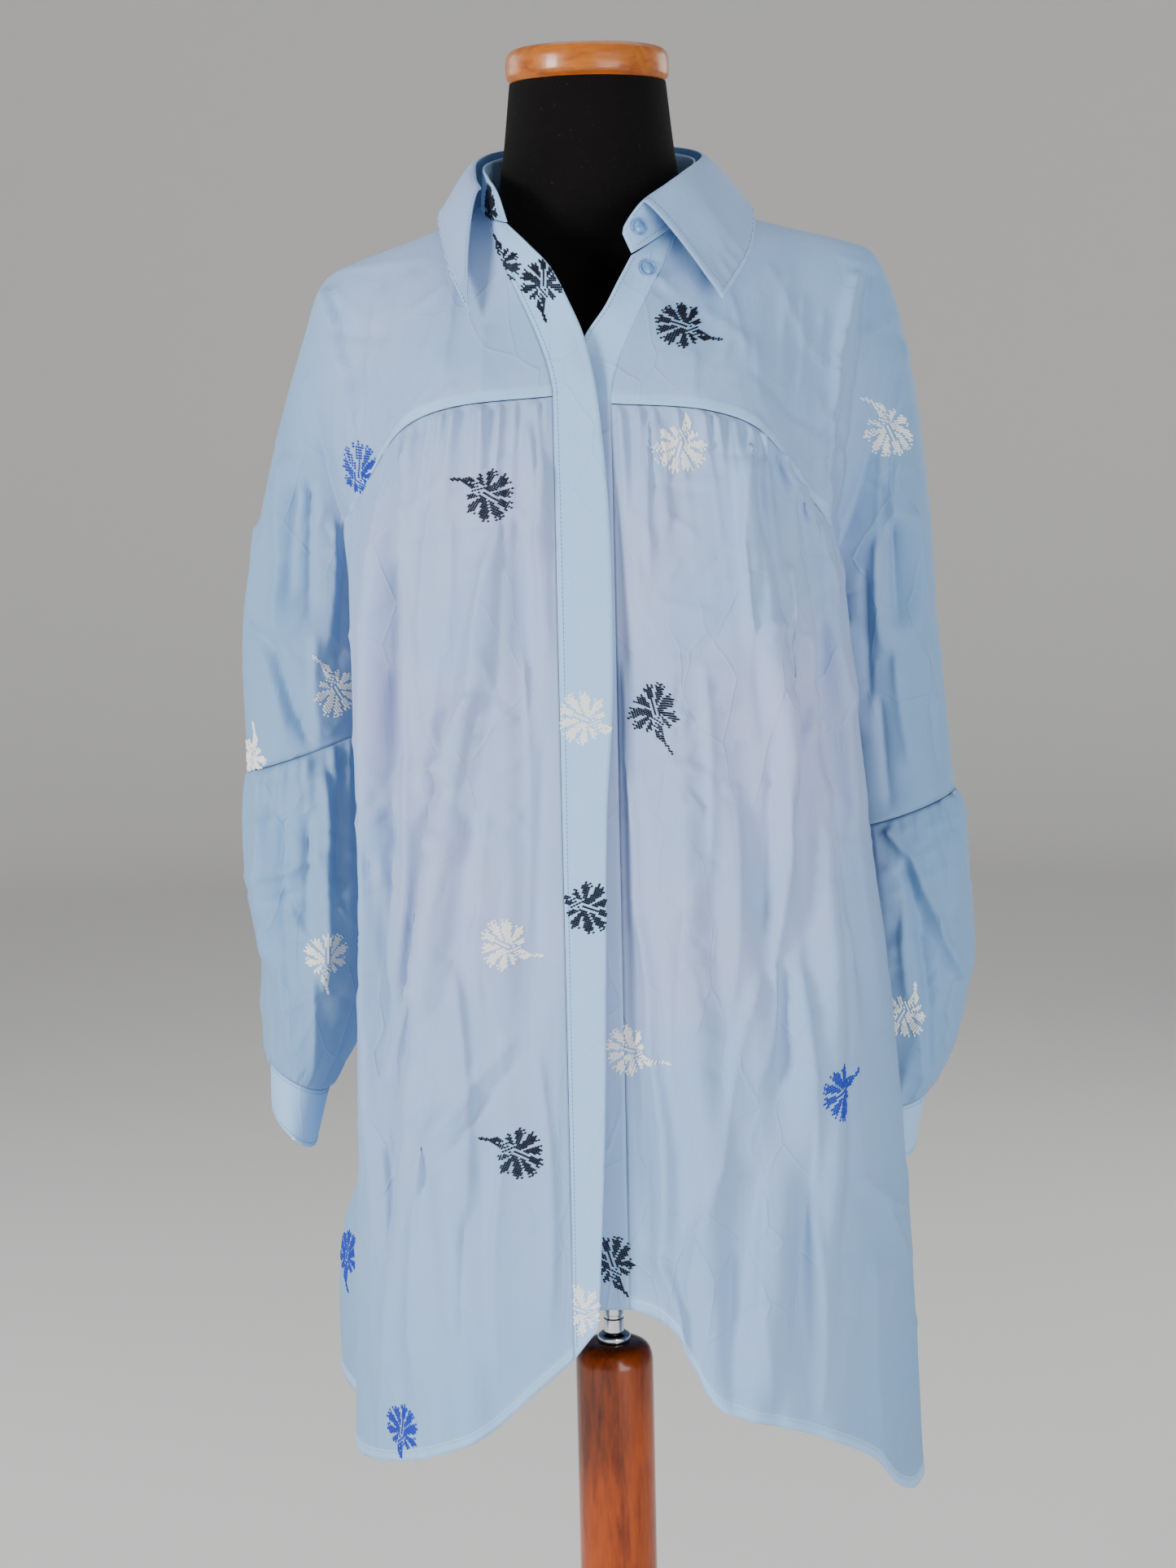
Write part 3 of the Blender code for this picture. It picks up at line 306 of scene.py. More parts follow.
# Collar leaf. Columns: place, roll line x, y, z, outer edge x, y, z, and how far its middle stands off.
LEAF = (
    (0.00, -0.0790, -0.0560, 1.4480, -0.0880, -0.0960, 1.3570, 0.010),
    (0.10, -0.0830, -0.0400, 1.4570, -0.1020, -0.0740, 1.3880, 0.010),
    (0.22, -0.0820, 0.0060, 1.4735, -0.1120, -0.0120, 1.4290, 0.006),
    (0.36, -0.0580, 0.0500, 1.4840, -0.0980, 0.0640, 1.4180, 0.008),
    (0.50, 0.0000, 0.0660, 1.4880, 0.0000, 0.0900, 1.4170, 0.008),
    (0.64, 0.0590, 0.0500, 1.4840, 0.1000, 0.0640, 1.4190, 0.008),
    (0.78, 0.0840, 0.0060, 1.4735, 0.1190, -0.0120, 1.4310, 0.006),
    (0.90, 0.0660, -0.0500, 1.4560, 0.1150, -0.0600, 1.3990, 0.010),
    (1.00, 0.0370, -0.0800, 1.4350, 0.0930, -0.0980, 1.3640, 0.010),
)
# How far in from its roll the leaf begins, as a share of the roll's distance from the axis
ROLL_IN = 0.992
# Dress form. Columns: height, half width, half depth, middle y.
FORM = (
    (0.705, 0.128, 0.088, 0.000),
    (0.717, 0.144, 0.102, 0.000),
    (0.790, 0.149, 0.106, 0.002),
    (0.880, 0.140, 0.102, 0.004),
    (0.980, 0.122, 0.093, 0.004),
    (1.050, 0.127, 0.097, 0.000),
    (1.150, 0.148, 0.112, -0.004),
    (1.210, 0.160, 0.110, -0.004),
    (1.270, 0.176, 0.102, -0.002),
    (1.320, 0.190, 0.082, 0.000),
    (1.355, 0.1955, 0.066, 0.004),
    (1.376, 0.1930, 0.050, 0.005),
    (1.3935, 0.1790, 0.040, 0.005),
    (1.4074, 0.1480, 0.034, 0.003),
    (1.4190, 0.1000, 0.042, 0.001),
    (1.4330, 0.0750, 0.052, 0.000),
    (1.4600, 0.0660, 0.0565, 0.000),
    (1.5262, 0.0578, 0.0560, 0.000),
)

# Creases, given one by one. Columns: x, z of one end, x, z of the other, half width, height (less than 0 for
# a trough), lean.
FRONT_CREASES = {
    RIGHT: (
        (-0.1433, 1.1789, -0.1488, 1.0305, 0.007, -0.005, 0.3),
        (-0.1419, 1.1081, -0.152, 0.8641, 0.006, 0.004, -0.5),
        (-0.1301, 1.2807, -0.1409, 1.1794, 0.007, 0.004, 0.6),
        (-0.1409, 1.1794, -0.1493, 1.098, 0.006, 0.0035, 0.6),
        (-0.1771, 0.9736, -0.159, 0.8883, 0.006, -0.004, -0.5),
        (-0.1683, 0.9641, -0.156, 0.8804, 0.007, 0.0035, 0.4),
        (-0.0704, 1.2127, -0.0921, 1.0901, 0.01, 0.005, 0.7),
        (-0.0927, 1.0937, -0.1113, 1.0312, 0.009, 0.0055, 0.8),
        (-0.1096, 1.0432, -0.1184, 0.9744, 0.008, 0.005, 0.7),
        (-0.1139, 0.995, -0.1383, 0.8703, 0.009, 0.005, 0.8),
        (-0.1333, 0.8841, -0.164, 0.7892, 0.009, 0.0045, 0.7),
        (-0.089, 1.0864, -0.1053, 1.0079, 0.008, -0.003, 0),
        (-0.0681, 0.8428, -0.1549, 0.7263, 0.006, 0.003, 0.7),
        (-0.0643, 0.8286, -0.1473, 0.7147, 0.004, -0.002, 0.3),
        (-0.0867, 0.8279, -0.1355, 0.7671, 0.004, 0.0018, 0.5),
        (-0.0478, 1.2802, -0.0433, 1.1792, 0.007, 0.0028, -0.4),
        (-0.0376, 1.2581, -0.0357, 1.1191, 0.008, 0.003, 0.6),
        (-0.0558, 1.1203, -0.0579, 0.8972, 0.012, 0.0032, -0.6),
        (-0.0833, 1.0067, -0.0925, 0.863, 0.01, 0.0026, 0.5),
        (-0.0412, 1.0622, -0.0517, 0.856, 0.01, -0.0026, 0.2),
        (-0.1095, 0.89, -0.1069, 0.7096, 0.012, 0.0032, -0.5),
        (-0.1359, 0.7775, -0.1483, 0.5653, 0.013, 0.0036, 0.6),
        (-0.1688, 0.756, -0.1749, 0.5524, 0.009, 0.003, -0.6),
        (-0.0767, 0.77, -0.0865, 0.5844, 0.012, 0.0034, 0.6),
        (-0.0502, 0.8288, -0.0479, 0.6219, 0.011, 0.003, -0.6),
        (-0.1069, 0.7096, -0.1169, 0.5719, 0.009, -0.0028, 0.2),
        (-0.1172, 1.2254, -0.1272, 1.0987, 0.007, 0.0026, 0.5),
        (-0.1035, 1.2134, -0.1091, 1.1212, 0.005, 0.0018, -0.5),
        (-0.1492, 0.7141, -0.1602, 0.5447, 0.006, -0.0022, 0.2),
        (-0.0302, 0.8878, -0.036, 0.7674, 0.006, 0.002, 0.4),
        (-0.1044, 1.0628, -0.0582, 1.0745, 0.003, 0.0014, 0.6),
        (-0.0869, 1.0283, -0.0507, 1.0491, 0.003, 0.0012, 0.5),
        (-0.1356, 1.0666, -0.1024, 1.0876, 0.003, 0.0013, -0.5),
        (-0.1413, 0.997, -0.12, 1.0142, 0.003, 0.0012, 0.5),
    ),
    LEFT: (
        (0.0149, 1.1111, 0.0158, 1.0386, 0.007, 0.005, -0.7),
        (0.0158, 1.0487, 0.0218, 0.9208, 0.007, 0.0052, -0.7),
        (0.0249, 0.9317, 0.0315, 0.8251, 0.008, 0.0055, -0.7),
        (0.0318, 0.8366, 0.0373, 0.6716, 0.009, 0.0055, -0.7),
        (0.0349, 0.6812, 0.0542, 0.5969, 0.008, 0.005, -0.6),
        (0.0112, 1.0014, 0.0135, 0.8512, 0.005, -0.0045, 0),
        (0.0159, 0.8584, 0.0262, 0.6802, 0.006, -0.005, 0),
        (0.037, 1.2838, 0.0357, 1.173, 0.006, 0.0032, 0.6),
        (0.0455, 1.2812, 0.048, 1.1996, 0.005, 0.002, -0.5),
        (0.1095, 1.2744, 0.1074, 1.1158, 0.008, 0.0042, 0.6),
        (0.1173, 1.2658, 0.1173, 1.1395, 0.006, -0.0026, 0.2),
        (0.1367, 1.1769, 0.1336, 1.0818, 0.009, 0.0048, -0.6),
        (0.1326, 1.0853, 0.1315, 1.0047, 0.009, 0.0052, -0.7),
        (0.1306, 1.0161, 0.1197, 0.8805, 0.009, 0.0052, -0.7),
        (0.1208, 0.8913, 0.1086, 0.8056, 0.008, 0.0045, -0.6),
        (0.1243, 1.0691, 0.1119, 0.8945, 0.007, -0.0032, 0.2),
        (0.1286, 1.2594, 0.1573, 1.202, 0.006, 0.0036, 0.7),
        (0.1579, 1.2044, 0.1711, 1.1537, 0.007, 0.0042, 0.7),
        (0.1716, 1.1597, 0.1815, 1.0651, 0.007, 0.0045, 0.6),
        (0.1806, 1.079, 0.186, 0.9819, 0.007, 0.0036, 0.5),
        (0.1629, 1.1327, 0.1616, 1.0174, 0.007, -0.003, 0),
        (0.108, 0.8842, 0.0772, 0.7421, 0.01, 0.004, 0.6),
        (0.0789, 0.7534, 0.0521, 0.633, 0.01, 0.0038, 0.6),
        (0.1831, 0.7184, 0.2228, 0.6801, 0.005, 0.004, 0.7),
        (0.2039, 0.6935, 0.2267, 0.6305, 0.006, 0.0026, -0.5),
        (0.139, 0.8897, 0.1475, 0.6999, 0.011, 0.0036, -0.6),
        (0.1481, 0.7087, 0.1517, 0.5478, 0.012, 0.0036, -0.6),
        (0.1802, 0.8089, 0.1874, 0.7108, 0.008, 0.0026, 0.4),
        (0.194, 0.6577, 0.2006, 0.4942, 0.011, 0.0038, 0.5),
        (0.1115, 0.732, 0.113, 0.5613, 0.012, 0.0034, 0.6),
        (0.0859, 0.6796, 0.0863, 0.5585, 0.009, -0.0028, 0.2),
        (0.0736, 1.1061, 0.0723, 0.9457, 0.01, 0.0028, -0.5),
        (0.0582, 0.9446, 0.0509, 0.7908, 0.009, 0.0026, 0.5),
        (0.0943, 1.0118, 0.0882, 0.853, 0.009, 0.0024, -0.5),
        (0.1756, 0.9127, 0.1802, 0.8089, 0.008, 0.0024, -0.4),
        (0.0523, 1.071, 0.0959, 1.0803, 0.003, 0.0015, 0.6),
        (0.0684, 1.0441, 0.1121, 1.0546, 0.003, 0.0014, 0.6),
        (0.0797, 1.0155, 0.1218, 1.0224, 0.003, 0.0012, -0.5),
        (0.142, 1.0553, 0.1733, 1.0599, 0.003, 0.0014, 0.5),
        (0.1482, 1.0039, 0.1803, 1.0099, 0.003, 0.0012, 0.5),
    ),
}
YOKE_CREASES = {
    RIGHT: (
        (-0.1974, 1.3807, -0.1848, 1.3222, 0.007, 0.005, -0.7),
        (-0.1839, 1.3298, -0.175, 1.2777, 0.007, 0.0046, -0.6),
        (-0.1891, 1.3709, -0.178, 1.306, 0.006, -0.0035, 0.2),
        (-0.1798, 1.2828, -0.1742, 1.2337, 0.006, 0.003, -0.5),
        (-0.2329, 1.2593, -0.2381, 1.1736, 0.01, 0.0046, 0.6),
        (-0.2398, 1.1792, -0.2437, 1.1195, 0.008, 0.0042, 0.6),
        (-0.2154, 1.2389, -0.2183, 1.138, 0.007, -0.005, 0),
        (-0.2238, 1.2353, -0.2355, 1.1476, 0.007, -0.004, 0.2),
        (-0.27, 1.1298, -0.2447, 1.1131, 0.006, -0.0035, 0.3),
        (-0.2465, 1.1141, -0.2309, 1.055, 0.006, -0.0045, 0.3),
        (-0.2308, 1.0619, -0.2193, 1.0347, 0.006, -0.004, 0.3),
        (-0.2547, 1.113, -0.2384, 1.047, 0.006, 0.003, -0.5),
        (-0.2148, 1.1234, -0.2147, 1.0362, 0.006, 0.0034, 0.5),
        (-0.1976, 1.2101, -0.2069, 1.1118, 0.006, 0.003, -0.6),
        (-0.1845, 1.2049, -0.1986, 1.0919, 0.005, -0.0026, 0.2),
        (-0.1308, 1.3926, -0.1498, 1.3122, 0.008, 0.002, 0.6),
        (-0.0982, 1.3978, -0.1095, 1.3094, 0.01, 0.0018, -0.6),
        (-0.1529, 1.3811, -0.1658, 1.2954, 0.006, 0.0022, 0.6),
        (-0.0764, 1.3492, -0.0805, 1.2973, 0.008, 0.0014, 0.5),
        (-0.2552, 1.2076, -0.2655, 1.1359, 0.006, 0.0022, 0.5),
        (-0.2417, 1.2354, -0.2563, 1.1801, 0.005, 0.0018, -0.5),
    ),
    LEFT: (
        (0.195, 1.3841, 0.1838, 1.3423, 0.006, 0.0052, 0.7),
        (0.1829, 1.3462, 0.1699, 1.2762, 0.006, 0.0056, 0.7),
        (0.1697, 1.2805, 0.1669, 1.207, 0.006, 0.005, 0.7),
        (0.2099, 1.3899, 0.2015, 1.3341, 0.008, -0.005, 0.2),
        (0.2025, 1.3386, 0.1936, 1.2625, 0.008, -0.0052, 0.2),
        (0.1945, 1.2672, 0.1849, 1.1886, 0.008, -0.004, 0.2),
        (0.1685, 1.3573, 0.1605, 1.2745, 0.004, 0.0016, 0.5),
        (0.1621, 1.3441, 0.1499, 1.2704, 0.004, 0.0014, 0.5),
        (0.1535, 1.369, 0.145, 1.2863, 0.005, 0.0016, -0.5),
        (0.1436, 1.3875, 0.1345, 1.3041, 0.006, 0.0014, 0.5),
        (0.103, 1.4056, 0.0922, 1.2997, 0.01, 0.0014, 0.5),
        (0.0717, 1.3292, 0.0685, 1.2926, 0.008, 0.0012, -0.5),
        (0.225, 1.2474, 0.2227, 1.1938, 0.009, 0.003, 0.5),
        (0.2237, 1.2017, 0.2272, 1.1209, 0.01, -0.006, 0.2),
        (0.2389, 1.2105, 0.2434, 1.1135, 0.008, 0.0042, -0.6),
        (0.2099, 1.1872, 0.2131, 1.1035, 0.008, 0.004, 0.5),
        (0.2008, 1.163, 0.2028, 1.0654, 0.006, -0.0036, 0.2),
        (0.2434, 1.1135, 0.2562, 1.0381, 0.007, 0.003, -0.6),
        (0.2225, 1.1008, 0.2338, 1.0139, 0.008, 0.003, 0.5),
        (0.2113, 1.0652, 0.2191, 0.9773, 0.006, -0.003, 0.2),
        (0.2486, 1.0632, 0.2625, 0.9985, 0.005, -0.0022, 0.2),
        (0.1915, 1.125, 0.1978, 1.0399, 0.005, 0.0028, 0.5),
        (0.2345, 1.3328, 0.225, 1.2474, 0.006, 0.0022, 0.6),
    ),
}
SLEEVE_CREASES = {
    RIGHT: (
        (-0.2545, 0.9907, -0.2631, 0.8578, 0.009, 0.0042, 0.6),
        (-0.2423, 0.9834, -0.2459, 0.8565, 0.007, -0.0032, 0.2),
        (-0.2116, 1.0212, -0.2111, 0.939, 0.006, 0.0052, -0.6),
        (-0.2114, 0.9455, -0.2179, 0.8493, 0.006, 0.0048, -0.6),
        (-0.2225, 0.989, -0.2284, 0.8963, 0.007, -0.0036, 0.2),
        (-0.2013, 1.0111, -0.2006, 0.9256, 0.007, -0.0034, 0.2),
        (-0.2638, 0.939, -0.2219, 0.9533, 0.004, 0.003, 0.6),
        (-0.2627, 0.9201, -0.23, 0.9292, 0.004, -0.002, 0.2),
        (-0.25, 0.8731, -0.2403, 0.7902, 0.008, 0.0034, 0.5),
        (-0.2642, 0.874, -0.2602, 0.8079, 0.006, -0.0026, 0.2),
        (-0.2243, 0.8638, -0.2311, 0.7774, 0.006, 0.0034, -0.6),
        (-0.2649, 0.9813, -0.2718, 0.9122, 0.006, 0.0024, 0.6),
    ),
    LEFT: (
        (0.2151, 0.9659, 0.2325, 0.9451, 0.006, 0.005, 0.7),
        (0.2321, 0.9484, 0.2541, 0.8946, 0.006, 0.0055, 0.7),
        (0.2504, 0.9011, 0.2747, 0.8456, 0.006, 0.005, 0.7),
        (0.2267, 0.9422, 0.2449, 0.8847, 0.008, -0.005, 0.2),
        (0.2387, 0.8902, 0.2534, 0.8106, 0.008, -0.0045, 0.2),
        (0.2644, 0.9632, 0.2686, 0.9035, 0.007, 0.003, -0.5),
        (0.2268, 0.9048, 0.2315, 0.8327, 0.007, 0.0036, 0.5),
        (0.2361, 0.8404, 0.2423, 0.7631, 0.006, 0.003, -0.5),
        (0.2537, 0.8372, 0.2518, 0.7719, 0.006, 0.0026, 0.5),
        (0.2695, 0.8496, 0.2649, 0.7864, 0.006, -0.0024, 0.2),
    ),
}
SLEEVE_BACK_CREASES = {
    RIGHT: (
        (-0.262, 1.010, -0.272, 0.900, 0.008, 0.0040, -0.6),
        (-0.240, 1.020, -0.246, 0.880, 0.007, -0.0034, 0.2),
        (-0.222, 1.010, -0.218, 0.870, 0.006, 0.0044, 0.6),
        (-0.276, 0.900, -0.262, 0.790, 0.007, 0.0034, 0.5),
        (-0.246, 0.890, -0.238, 0.780, 0.006, -0.0026, 0.2),
        (-0.280, 0.950, -0.240, 0.965, 0.004, 0.0022, 0.5),
        (-0.230, 0.900, -0.268, 0.880, 0.004, 0.0020, -0.5),
    ),
    LEFT: (
        (0.262, 1.000, 0.274, 0.890, 0.008, 0.0040, 0.6),
        (0.240, 1.010, 0.250, 0.870, 0.007, -0.0034, 0.2),
        (0.222, 1.000, 0.226, 0.860, 0.006, 0.0042, -0.6),
        (0.280, 0.900, 0.268, 0.790, 0.007, 0.0034, 0.5),
        (0.250, 0.880, 0.246, 0.780, 0.006, -0.0026, 0.2),
        (0.236, 0.940, 0.280, 0.925, 0.004, 0.0022, 0.5),
    ),
}
BACK_CREASES = (
    (-0.020, 1.260, -0.030, 1.040, 0.008, 0.0042, 0.6),
    (-0.028, 1.050, -0.052, 0.860, 0.009, 0.0046, 0.7),
    (-0.052, 0.870, -0.070, 0.620, 0.011, 0.0044, 0.6),
    (0.012, 1.240, 0.020, 1.010, 0.007, -0.0036, 0.2),
    (0.034, 1.230, 0.040, 0.960, 0.008, 0.0038, -0.6),
    (0.040, 0.980, 0.062, 0.700, 0.010, 0.0042, -0.7),
    (0.060, 0.720, 0.066, 0.530, 0.011, 0.0036, 0.5),
    (0.084, 1.240, 0.092, 1.040, 0.007, 0.0036, 0.6),
    (0.092, 1.060, 0.118, 0.800, 0.009, 0.0048, -0.7),
    (0.116, 0.820, 0.128, 0.540, 0.011, 0.0042, 0.5),
    (0.128, 1.200, 0.140, 0.960, 0.007, -0.0038, 0.2),
    (0.148, 1.150, 0.166, 0.900, 0.008, 0.0046, 0.6),
    (0.164, 0.920, 0.182, 0.640, 0.010, 0.0038, -0.6),
    (-0.080, 1.240, -0.084, 1.020, 0.008, 0.0036, -0.6),
    (-0.084, 1.040, -0.106, 0.780, 0.009, 0.0046, 0.7),
    (-0.104, 0.800, -0.116, 0.560, 0.010, 0.0038, -0.5),
    (-0.118, 1.200, -0.126, 0.960, 0.007, -0.0036, 0.2),
    (-0.140, 1.160, -0.158, 0.900, 0.008, 0.0046, 0.6),
    (-0.156, 0.920, -0.176, 0.660, 0.010, 0.0040, 0.6),
    (-0.050, 0.900, -0.020, 0.640, 0.009, -0.0030, 0.2),
    (0.090, 0.820, 0.096, 0.600, 0.009, -0.0030, 0.2),
    (-0.010, 0.820, 0.010, 0.560, 0.011, 0.0034, 0.5),
    (-0.150, 1.090, -0.090, 1.030, 0.005, 0.0022, 0.6),
    (0.150, 1.060, 0.096, 1.010, 0.005, 0.0022, -0.6),
    (-0.060, 1.120, 0.010, 1.100, 0.004, 0.0014, 0.5),
    (0.020, 1.090, 0.090, 1.075, 0.004, 0.0014, -0.5),
    (-0.100, 0.970, -0.040, 0.950, 0.004, 0.0014, 0.5),
)
BACK_YOKE_CREASES = (
    (-0.170, 1.385, -0.186, 1.240, 0.007, 0.0046, 0.6),
    (-0.186, 1.380, -0.205, 1.230, 0.008, -0.0042, 0.2),
    (-0.220, 1.250, -0.236, 1.120, 0.008, 0.0042, 0.6),
    (-0.240, 1.140, -0.250, 1.020, 0.007, 0.0040, -0.5),
    (-0.222, 1.150, -0.226, 1.030, 0.006, -0.0034, 0.2),
    (-0.262, 1.180, -0.270, 1.060, 0.006, 0.0030, 0.5),
    (0.172, 1.380, 0.184, 1.230, 0.007, 0.0048, -0.6),
    (0.190, 1.370, 0.206, 1.220, 0.008, -0.0044, 0.2),
    (0.222, 1.240, 0.238, 1.100, 0.008, 0.0042, -0.6),
    (0.238, 1.120, 0.254, 1.000, 0.007, 0.0040, 0.5),
    (0.224, 1.140, 0.232, 1.010, 0.006, -0.0034, 0.2),
    (0.262, 1.160, 0.276, 1.040, 0.006, 0.0030, 0.5),
    (-0.090, 1.400, -0.110, 1.310, 0.010, 0.0018, 0.5),
    (0.080, 1.400, 0.098, 1.310, 0.010, 0.0018, 0.5),
    (-0.010, 1.400, 0.004, 1.310, 0.010, 0.0014, 0.5),
)
PLACKET_CREASES = (
    (-0.0235, 1.262, 0.0020, 1.269, 0.0040, 0.0010, 0.5),
    (-0.0200, 1.180, -0.0010, 1.170, 0.0040, 0.0007, -0.5),
    (-0.0200, 1.020, -0.0060, 1.000, 0.0050, 0.0008, 0.5),
    (-0.0220, 0.860, -0.0060, 0.880, 0.0050, 0.0008, -0.5),
    (-0.0220, 0.760, -0.0060, 0.745, 0.0050, 0.0008, 0.5),
)
BAND_CREASES = (
    (0.0160, 1.300, 0.0420, 1.290, 0.0050, 0.0008, 0.5),
)

# Flowers. Columns: piece, place across it, place down it, turn in degrees, size.
FLOWERS = {
    "navy": (
        ("placket_right", 0.667, 0.46, 0, 1),
        ("placket_right", -0.12, 0.345, 193, 1),
        ("collar_stand", 0.1, 0.175, 0, 0.9),
        ("front_yoke_left", 0.198, 0.354, 65, 1),
        ("front_panel_right", 0.2, 0.086, 239, 1),
        ("front_panel_left", 0.093, 0.323, 17, 1),
        ("placket_right", 0.5, 1.521, 252, 1),
        ("front_panel_right", 0.136, 0.739, 245, 1),
        ("button_band_left", 0.333, 1.947, 17, 1),
        ("front_panel_left", -0.04, 0.952, 17, 1),
        ("back_yoke", -0.3, 0.45, 20, 1),
        ("back_yoke", 1.8, 0.35, 250, 1),
        ("back_panel", 0.12, 0.13, 310, 1),
        ("back_panel", 0.68, 0.2, 80, 1),
        ("back_panel", -0.7, 0.5, 260, 1),
        ("back_panel", 0.6, 0.68, 130, 1),
        ("back_panel", -0.12, 0.86, 330, 1),
        ("sleeve_lower_left", 0.72, 0.36, 30, 1),
        ("sleeve_lower_right", 0.6, 0.4, 200, 1),
    ),
    "ivory": (
        ("front_panel_left", 0.207, 0.036, 163, 1),
        ("front_yoke_left", 1.092, 0.579, 204, 1),
        ("front_yoke_right", 1.762, 0.306, 211, 1),
        ("front_yoke_right", 1.972, 0.837, 161, 1),
        ("placket_right", 0.5, 1.326, 66, 1),
        ("front_panel_right", 0.15, 0.528, 63, 1),
        ("front_panel_left", 0.015, 0.704, 75, 1),
        ("sleeve_lower_left", 0.214, 0.643, 151, 1),
        ("sleeve_lower_right", 0.214, 0.595, 358, 1),
        ("placket_right", 0.333, 1.958, 73, 1),
        ("button_band_left", -0.17, 1.705, 75, 1),
        ("cuff_right", 0.12, 1.35, 204, 1),
        ("back_yoke", 0.42, 0.4, 200, 1),
        ("back_yoke", -1.78, 0.6, 15, 1),
        ("back_panel", -0.55, 0.16, 140, 1),
        ("back_panel", 0.4, 0.42, 20, 1),
        ("back_panel", -0.42, 0.7, 190, 1),
        ("cuff_left", 0.74, 0.6, 90, 1),
    ),
    "blue": (
        ("front_yoke_right", 0.733, 0.097, 6, 1),
        ("front_panel_left", 0.493, 0.64, 104, 1.1),
        ("front_panel_right", 0.514, 0.969, 354, 1),
        ("back_yoke", 0.93, 0.5, 110, 1),
        ("back_panel", 0.05, 0.6, 45, 1),
        ("back_panel", -0.877, 0.85, 0, 1),
        ("back_panel", 0.86, 0.88, 215, 1),
        ("sleeve_lower_left", 0.6, 0.8, 160, 1),
    ),
}
# Lines of machine stitches. Columns: piece, and the places on it that the line passes through.
SEWN = {
    "placket_stitches": (("placket_right", ((0.10, 0.05), (0.10, 1.0), (0.10, 1.99))),),
    "band_stitches": (("button_band_left", ((0.90, 0.05), (0.90, 1.0), (0.90, 1.99))),),
    "cuff_right_stitches": (
        ("cuff_right", ((0.0, 0.07), (0.9999, 0.07))),
        ("cuff_right", ((0.0, 0.93), (0.9999, 0.93))),
    ),
    "cuff_left_stitches": (
        ("cuff_left", ((0.0, 0.07), (0.9999, 0.07))),
        ("cuff_left", ((0.0, 0.93), (0.9999, 0.93))),
    ),
    "collar_stitches": (
        ("collar", ((0.004, 0.955), (0.996, 0.955))),
        ("collar", ((0.010, 0.06), (0.010, 0.955))),
        ("collar", ((0.990, 0.06), (0.990, 0.955))),
    ),
    "stand_stitches": (
        ("collar_stand", ((0.02, 0.10), (0.98, 0.10))),
        ("collar_stand", ((0.03, 0.90), (0.97, 0.90))),
    ),
}


def at(rows, key):
    """The columns of a table at keys between its rows, on one smooth curve."""
    table = np.array(rows, float)
    if table[0, 0] > table[-1, 0]:
        table = table[::-1]
    keys = table[:, 0]
    key = np.clip(np.asarray(key, float), keys[0], keys[-1])
    i = np.clip(np.searchsorted(keys, key, side="left") - 1, 0, len(keys) - 2)
    a, b = table[i], table[i + 1]
    before, after = table[np.maximum(i - 1, 0)], table[np.minimum(i + 2, len(keys) - 1)]
    span = b[..., :1] - a[..., :1]
    t = (key[..., None] - a[..., :1]) / span
    slope_a = (b - before) / (b[..., :1] - before[..., :1])
    slope_b = (after - a) / (after[..., :1] - a[..., :1])
    out = (2 * t**3 - 3 * t**2 + 1) * a + (t**3 - 2 * t**2 + t) * span * slope_a
    out = out + (3 * t**2 - 2 * t**3) * b + (t**3 - t**2) * span * slope_b
    return np.moveaxis(out[..., 1:], -1, 0)


def stack(*columns):
    """Points from their coordinates, which are spread to one shape."""
    return np.stack(np.broadcast_arrays(*columns), -1)


def unit(vectors):
    """The same directions, each of length 1."""
    return vectors / np.maximum(np.linalg.norm(vectors, axis=-1, keepdims=True), 1e-9)


def hump(x):
    """A smooth rise to 1 at 0, and nothing beyond 1 on either side."""
    return np.where(np.abs(x) < 1, np.cos(np.pi * np.clip(x, -1, 1) / 2) ** 2, 0.0)


def smooth(x):
    """A soft step from 0 to 1."""
    x = np.clip(x, 0.0, 1.0)
    return x * x * (3 - 2 * x)


def plan(side, back, share, z):
    """Points of the body's level sections, from the centre line to the side seam."""
    front_y, corner_x, corner_y, side_x, side_y, rear_x, rear_y, back_y = at(BODY[side], z)
    seam = stack(side * side_x, side_y)
    front_corner, rear_corner = stack(side * corner_x, corner_y), stack(side * rear_x, rear_y)
    if back:
        start, corner, beyond = stack(0.0, back_y), rear_corner, front_corner
    else:
        start, corner, beyond = stack(FRONT_START[side], front_y), front_corner, rear_corner
    mid = start + MID_SHARE * (corner - start)
    mid[..., 1] = start[..., 1] + MID_FALL * (corner[..., 1] - start[..., 1])
    mirrored = stack(2 * start[..., 0] - mid[..., 0], mid[..., 1])
    points = np.stack((mirrored, start, mid, corner, seam, beyond))
    lengths = np.linalg.norm(points[2:5] - points[1:4], axis=-1)
    along = share * lengths.sum(0)
    ends = np.stack((0 * along, lengths[0], lengths[0] + lengths[1]))
    k = (along > ends[1]).astype(int) + (along > ends[2])
    begin, length = (np.take_along_axis(rows, k[None], 0)[0] for rows in (ends, lengths))
    t = ((along - begin) / length)[..., None]
    a, b, c, d = (np.take_along_axis(points, (k + m)[None, ..., None], 0)[0] for m in range(4))
    curve = 2 * b + (c - a) * t + (2 * a - 5 * b + 4 * c - d) * t * t + (3 * b - a - 3 * c + d) * t**3
    return 0.5 * curve


def fold_height(folds, share, z):
    """How far the hanging folds move the cloth out at places on the body."""
    total = 0.0 * share
    for top_share, low_share, top, low, half, high in folds:
        way = (top - z) / (top - low)
        place = top_share + (low_share - top_share) * way
        rise = np.minimum(1.0, way / 0.25) * np.minimum(1.0, (1.3 - way) / 0.3)
        total = total + np.where((way > 0) & (way < 1.3), high * rise * hump((share - place) / half), 0.0)
    return total


